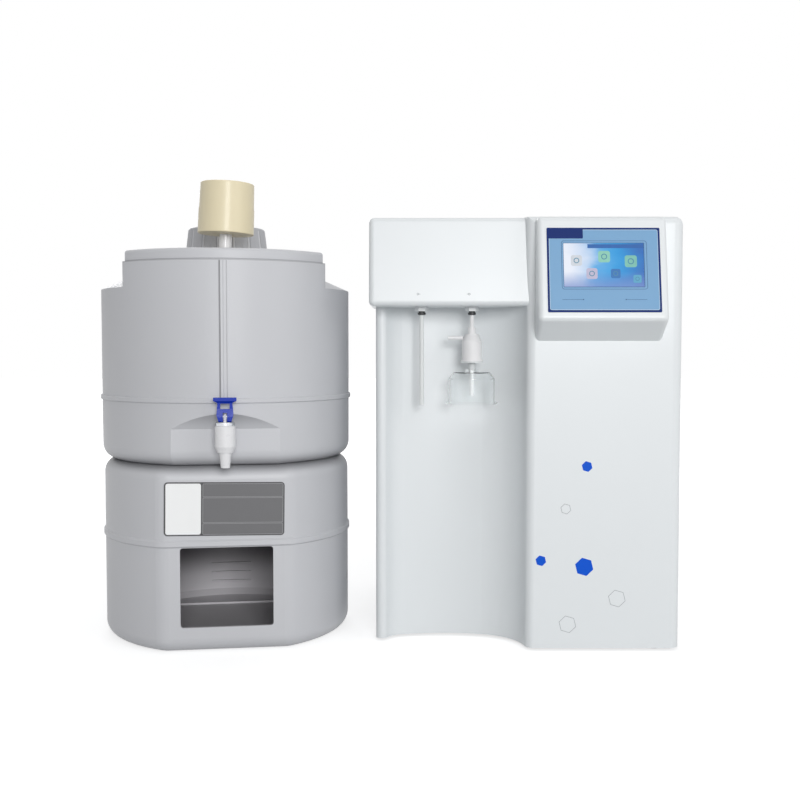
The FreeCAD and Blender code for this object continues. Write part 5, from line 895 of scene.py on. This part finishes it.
# %% Outlet marks
MARK_INK = print_ink("mark_grey", tone(112, 116, 122))
MARK_LEVEL, MARK_SHIFT, RAY_LEAD = 497.5, Vector((-6.0 * MM, 0, 0)), 100.0
RING_WIDE, RING_ROUND, MARK_LINE, DASH_LONG, DASH_SIDE = 3.0, 1.4, 0.5, 1.6, 2.6
head_front = frame["nodes"]["front_moulding"]
marks = []
for outlet, dash in (("left_collet", DASH_SIDE), ("right_collet", -DASH_SIDE)):
    start = Vector((middle_of(outlet).x, cad_low.y - RAY_LEAD * MM, MARK_LEVEL * MM)) + MARK_SHIFT
    met, spot, facing, _ = head_front.ray_cast(start, Vector((0, 1, 0)))
    lean = math.atan2(facing.z, -facing.y)
    print("head's front found:", met, "leaning", round(math.degrees(lean), 1), "degrees")
    marks.append(stand(plate(RING_WIDE, RING_WIDE, INK_THICK, RING_ROUND, MARK_LINE), spot,
                       lean))
    marks.append(stand(plate(DASH_LONG, MARK_LINE, INK_THICK), spot
                       + Vector((dash * MM, 0, 0)), lean))
hand_over(join_pieces(marks), "outlet_marks", "housing", MARK_INK)

# %% [markdown]
# ## The film's print
#
# On the dark blue rim lies a light blue field with round corners and a pale edge, cut out for
# the screen. A dark tab fills its top left corner. A thin frame and a closer line run round
# the screen, and two short rules end in dots below it.

# %% Film field
FIELD_SIDE, FIELD_FOOT, FIELD_HEAD = 2.9, 3.2, 2.7
FILM_WIDTH, FIELD_ROUND, EDGE_OUT, EDGE_LINE = 153.0, 2.5, 0.2, 0.7
FIELD_WIDE, FIELD_TALL = FILM_WIDTH - 2 * FIELD_SIDE, FILM_TALL - FIELD_FOOT - FIELD_HEAD


def film_plate(width, tall, across, up, thick=INK_THICK, corner=0.0, ring=0.0):
    """A plate on the pod's face, centred across and up from the film's foot."""
    return stand(plate(width, tall, thick, corner, ring), on_film(across, up), POD_LEAN)


def film_field():
    """The field: a plate whose inset middle is moved onto the screen and cut out."""
    nothing_selected()
    bpy.ops.mesh.primitive_plane_add(size=1)
    bpy.ops.object.mode_set(mode="EDIT")
    bpy.ops.transform.resize(value=(FIELD_WIDE * MM, FIELD_TALL * MM, 1))
    bpy.ops.mesh.bevel(offset=FIELD_ROUND * MM, segments=5, affect="VERTICES")
    bpy.ops.mesh.inset(thickness=0.98 * FIELD_ROUND * MM)
    bpy.ops.transform.resize(value=(SCREEN_WIDTH / (FIELD_WIDE - 2 * FIELD_ROUND),
                                    SCREEN_TALL / (FIELD_TALL - 2 * FIELD_ROUND), 1))
    drop = FIELD_FOOT + FIELD_TALL / 2 - SCREEN_RISE - SCREEN_TALL / 2
    bpy.ops.transform.translate(value=(0, -drop * MM, 0))
    bpy.ops.mesh.delete(type="FACE")
    bpy.ops.mesh.select_all(action="SELECT")
    return stand(thicken(INK_THICK), on_film(0, FIELD_FOOT + FIELD_TALL / 2), POD_LEAN)


hand_over(film_field(), "film_field", "housing", FILM_SKY)
edge = film_plate(FIELD_WIDE + EDGE_OUT, FIELD_TALL + EDGE_OUT, 0,
                  FIELD_FOOT + FIELD_TALL / 2, 1.3 * INK_THICK, FIELD_ROUND, EDGE_LINE)
hand_over(edge, "film_edge", "housing", FILM_EDGE)

# %% Film tab and lines
TAB_WIDE, TAB_TALL, TAB_ROUND = 49.0, 15.0, 1.5
FRAME_OUT, FRAME_SHIFT, FRAME_ROUND, FRAME_LINE = 7.0, 0.6, 3.5, 0.55
CLOSE_OUT, CLOSE_ROUND, CLOSE_LINE = 1.2, 0.8, 0.7
RULE_LONG, RULE_LINE, RULE_SIDE, RULE_UP = 28.0, 0.45, 43.0, 17.5
DOT_SIDE, DOT_WIDE, DOT_ROUND = 28.6, 1.6, 0.7
tab = film_plate(TAB_WIDE, TAB_TALL, -FILM_WIDTH / 2 + TAB_WIDE / 2,
                 FILM_TALL - TAB_TALL / 2, thick=2 * INK_THICK, corner=TAB_ROUND)
hand_over(tab, "film_tab", "housing", FILM_NAVY)

screen_middle = SCREEN_RISE + SCREEN_TALL / 2
lines = [film_plate(SCREEN_WIDTH + FRAME_OUT, SCREEN_TALL + FRAME_OUT, FRAME_SHIFT,
                    screen_middle, 2 * INK_THICK, FRAME_ROUND, FRAME_LINE),
         film_plate(SCREEN_WIDTH + CLOSE_OUT, SCREEN_TALL + CLOSE_OUT, 0,
                    screen_middle, 2 * INK_THICK, CLOSE_ROUND, CLOSE_LINE)]
for side in (-1, 1):
    lines.append(film_plate(RULE_LONG, RULE_LINE, side * RULE_SIDE, RULE_UP, 2 * INK_THICK))
    lines.append(film_plate(DOT_WIDE, DOT_WIDE, side * DOT_SIDE, RULE_UP, 2 * INK_THICK,
                            DOT_ROUND))
hand_over(join_pieces(lines), "film_lines", "housing", FILM_LINE)
print("printed the film")

# %% [markdown]
# ## The screen's tiles
#
# The screen shows a bar along its head and a few round-cornered tiles. They are lit, so they
# are thin plates with their own light, each with a plain ring on it.

# %% Screen tiles


def lit_ink(name, colour):
    material, tree, shader = new_material(name)
    glow = noise(tree, object_place(tree, -6, 1), 160.0, 2.0, -4, 1)
    dimmer = (*(0.82 * c for c in colour[:3]), 1)
    tree.links.new(two_tones(tree, glow, dimmer, colour, -2, 1),
                   shader.inputs["Emission Color"])
    shader.inputs["Emission Strength"].default_value = 0.85
    shader.inputs["Base Color"].default_value = tone(20, 24, 30)
    shader.inputs["Roughness"].default_value = 0.15
    return material


# Each tile's name, colour, place across and up on the screen, and width.
TILES = (("white", tone(226, 232, 240), -37.0, 36.4, 15.0),
         ("green", tone(150, 220, 196), 0.5, 41.8, 16.0),
         ("mint", tone(132, 206, 190), 36.4, 35.3, 16.5),
         ("pink", tone(206, 200, 226), -16.4, 18.3, 15.0),
         ("blue", tone(40, 122, 196), 15.6, 18.3, 13.0),
         ("sky", tone(92, 178, 216), 44.7, 11.0, 11.0))
BAR_SHARE, BAR_TALL, BAR_DROP = 0.70, 5.5, 4.2
BAR_INK = lit_ink("screen_bar", tone(28, 104, 186))
RING_INK = lit_ink("tile_ring", tone(66, 142, 176))
bar = film_plate(SCREEN_WIDTH * BAR_SHARE, BAR_TALL, SCREEN_WIDTH * (1 - BAR_SHARE) / 2,
                 SCREEN_RISE + SCREEN_TALL - BAR_DROP)
hand_over(bar, "screen_bar", "housing", BAR_INK)
rings = []
for word, colour, across, up, wide in TILES:
    tile = film_plate(wide, wide, across, SCREEN_RISE + up, INK_THICK, 0.2 * wide)
    hand_over(tile, f"screen_tile_{word}", "housing", lit_ink(f"tile_{word}", colour))
    rings.append(film_plate(0.5 * wide, 0.5 * wide, across, SCREEN_RISE + up, 1.6 * INK_THICK,
                            0.24 * wide, 0.07 * wide))
hand_over(join_pieces(rings), "screen_rings", "housing", RING_INK)
print("lit", len(TILES), "tiles")

# %% [markdown]
# ## The label on the pedestal
#
# A long vinyl label sits on the pedestal's flat front, above the band: a dark rim, a white
# panel at the left and a grey panel with thin frames. Its panels stay bare. The whole label is
# stuck on a little askew.

# %% Pedestal label
LABEL_LEFT, LABEL_RIGHT, LABEL_FOOT, LABEL_HEAD = -85.0, 80.0, 163.4, 238.0
LABEL_THICK, LABEL_ROUND, LABEL_ROLL = 0.3, 5.0, math.radians(0.8)
# The two panels' places in the label, and the frames' levels down from the label's head.
WHITE_START, WHITE_STOP, WHITE_END, WHITE_ROUND = 2.2, 50.2, 1.9, 3.0
GREY_START, GREY_SIDE, GREY_END, GREY_ROUND = 52.0, 1.5, 1.4, 3.4
CELL_INSET, CELL_ROUND, CELL_LINE = 0.6, 1.6, 0.45
LABEL_CELLS = ((2.0, 20.5), (21.6, 56.3), (57.4, 72.8))
LABEL_DARK = print_ink("label_dark", tone(84, 84, 86))
LABEL_WHITE = print_ink("label_white", tone(253, 254, 254))
LABEL_GREY = print_ink("label_grey", tone(114, 114, 116))
LABEL_LINE = print_ink("label_line", tone(168, 168, 170))


def label_plate(left, right, foot, head, thick, corner=0.0, ring=0.0, lift=0.0):
    """A plate on the pedestal's front, between two sides and two levels of the rolled label."""
    centre = Vector(((LABEL_LEFT + LABEL_RIGHT) / 2, (LABEL_FOOT + LABEL_HEAD) / 2))
    offset = Vector(((left + right) / 2, (foot + head) / 2)) - centre
    spot = centre + Matrix.Rotation(-LABEL_ROLL, 2) @ offset
    piece = stand(plate(right - left, head - foot, thick, corner, ring),
                  on_tank(spot.x, PEDESTAL_FACE + lift, spot.y), turn=TANK_TURN)
    piece.rotation_euler.y = LABEL_ROLL
    return piece


base = label_plate(LABEL_LEFT, LABEL_RIGHT, LABEL_FOOT, LABEL_HEAD, LABEL_THICK, LABEL_ROUND)
hand_over(base, "label_base", "housing", LABEL_DARK)
white = label_plate(LABEL_LEFT + WHITE_START, LABEL_LEFT + WHITE_STOP, LABEL_FOOT + WHITE_END,
                    LABEL_HEAD - WHITE_END, INK_THICK, WHITE_ROUND, lift=LABEL_THICK)
hand_over(white, "label_white_panel", "housing", LABEL_WHITE)
grey = label_plate(LABEL_LEFT + GREY_START, LABEL_RIGHT - GREY_SIDE, LABEL_FOOT + GREY_END,
                   LABEL_HEAD - GREY_END, INK_THICK, GREY_ROUND, lift=LABEL_THICK)
hand_over(grey, "label_grey_panel", "housing", LABEL_GREY)
line_lift = LABEL_THICK + INK_THICK
cell_left = LABEL_LEFT + GREY_START + CELL_INSET
cell_right = LABEL_RIGHT - GREY_SIDE - CELL_INSET
label_lines = [label_plate(cell_left, cell_right, LABEL_HEAD - foot, LABEL_HEAD - head,
                           INK_THICK, CELL_ROUND, CELL_LINE, line_lift)
               for head, foot in LABEL_CELLS]
hand_over(join_pieces(label_lines), "label_lines", "housing", LABEL_LINE)
print("laid the label")

# %% [markdown]
# ## Floor and light
#
# The floor is a wide pale plane under and behind the units. To the camera, and in glossy or
# clear surfaces, it adds light of its own, which brings it to white and leaves the
# shadow in it. The lamps stay at a plain level, so each colour renders about as it is written.
# The back lamp lights the units' backs for views from behind.

# %% Floor
# The floor's own light, near the units and far from them, and where it grows, in metres.
GLOW_NEAR, GLOW_FAR, GLOW_START, GLOW_STOP = 0.69, 1.0, 0.6, 2.4


def seen_light(tree, column, row):
    """1 for rays that the camera sees directly, in a shine or through something clear."""
    path = add_node(tree, "ShaderNodeLightPath", column, row).outputs
    seen = join_values(tree, "MAXIMUM", path["Is Camera Ray"], path["Is Glossy Ray"],
                       column + 1, row)
    clear = join_values(tree, "MAXIMUM", seen, path["Is Transmission Ray"], column + 2, row)
    direct = join_values(tree, "LESS_THAN", path["Diffuse Depth"], 0.5, column + 2, row + 1)
    return product(tree, clear, direct, column + 3, row)


def studio_floor():
    material, tree, shader = new_material("studio_floor")
    grain = noise(tree, object_place(tree, -6, 1), 3.0, 4.0, -4, 1)
    tree.links.new(two_tones(tree, grain, tone(196, 197, 198), tone(202, 203, 204), -2, 0),
                   shader.inputs["Base Color"])
    shader.inputs["Roughness"].default_value = 0.9
    shader.inputs["Specular IOR Level"].default_value = 0.0
    away = radius_of(tree, object_place(tree, -4, 4), -3, 4)
    far = add_node(tree, "ShaderNodeMapRange", -1, 4, interpolation_type="SMOOTHSTEP")
    for name, value in (("From Min", GLOW_START), ("From Max", GLOW_STOP),
                        ("To Min", GLOW_NEAR), ("To Max", GLOW_FAR)):
        far.inputs[name].default_value = value
    tree.links.new(away, far.inputs["Value"])
    level = product(tree, seen_light(tree, -4, 3), far.outputs["Result"], 0, 3)
    shader.inputs["Emission Color"].default_value = (1, 1, 1, 1)
    tree.links.new(level, shader.inputs["Emission Strength"])
    return material


nothing_selected()
bpy.ops.mesh.primitive_plane_add(size=24.0)
floor = bpy.context.object
floor.name = "studio_floor"
floor.data.materials.append(studio_floor())

# %% Lamps and world
LAMP_AIM, SKY_LIGHT = Vector((0.0, 0.0, 0.3)), 0.32


def soft_lamp(name, place, size, power):
    lamp_data = bpy.data.lights.new(name, "AREA")
    lamp_data.shape = "SQUARE"
    lamp_data.size = size
    lamp_data.energy = power
    lamp = bpy.data.objects.new(name, lamp_data)
    bpy.context.scene.collection.objects.link(lamp)
    lamp.location = place
    lamp.rotation_euler = (LAMP_AIM - Vector(place)).to_track_quat("-Z", "Y").to_euler()


# Each lamp's name, place and size in metres, and power in watts.
soft_lamp("key_lamp", (0.9, -5.1, 1.5), 1.6, 118.0)
soft_lamp("side_lamp", (2.6, -2.0, 1.2), 1.6, 13.0)
soft_lamp("top_lamp", (0.0, -0.2, 2.8), 2.2, 10.0)
soft_lamp("back_lamp", (-1.2, 3.8, 2.0), 1.6, 40.0)

world = bpy.data.worlds.new("studio_world")
bpy.context.scene.world = world
world.use_nodes = True
tree = world.node_tree
background = tree.nodes["Background"]
level = add_node(tree, "ShaderNodeMapRange", -1, 0)
level.inputs["To Min"].default_value = SKY_LIGHT
level.inputs["To Max"].default_value = 1.0
tree.links.new(seen_light(tree, -5, 0), level.inputs["Value"])
tree.links.new(level.outputs["Result"], background.inputs["Strength"])
background.inputs["Color"].default_value = (1, 1, 1, 1)
bpy.context.scene.view_settings.view_transform = "Standard"
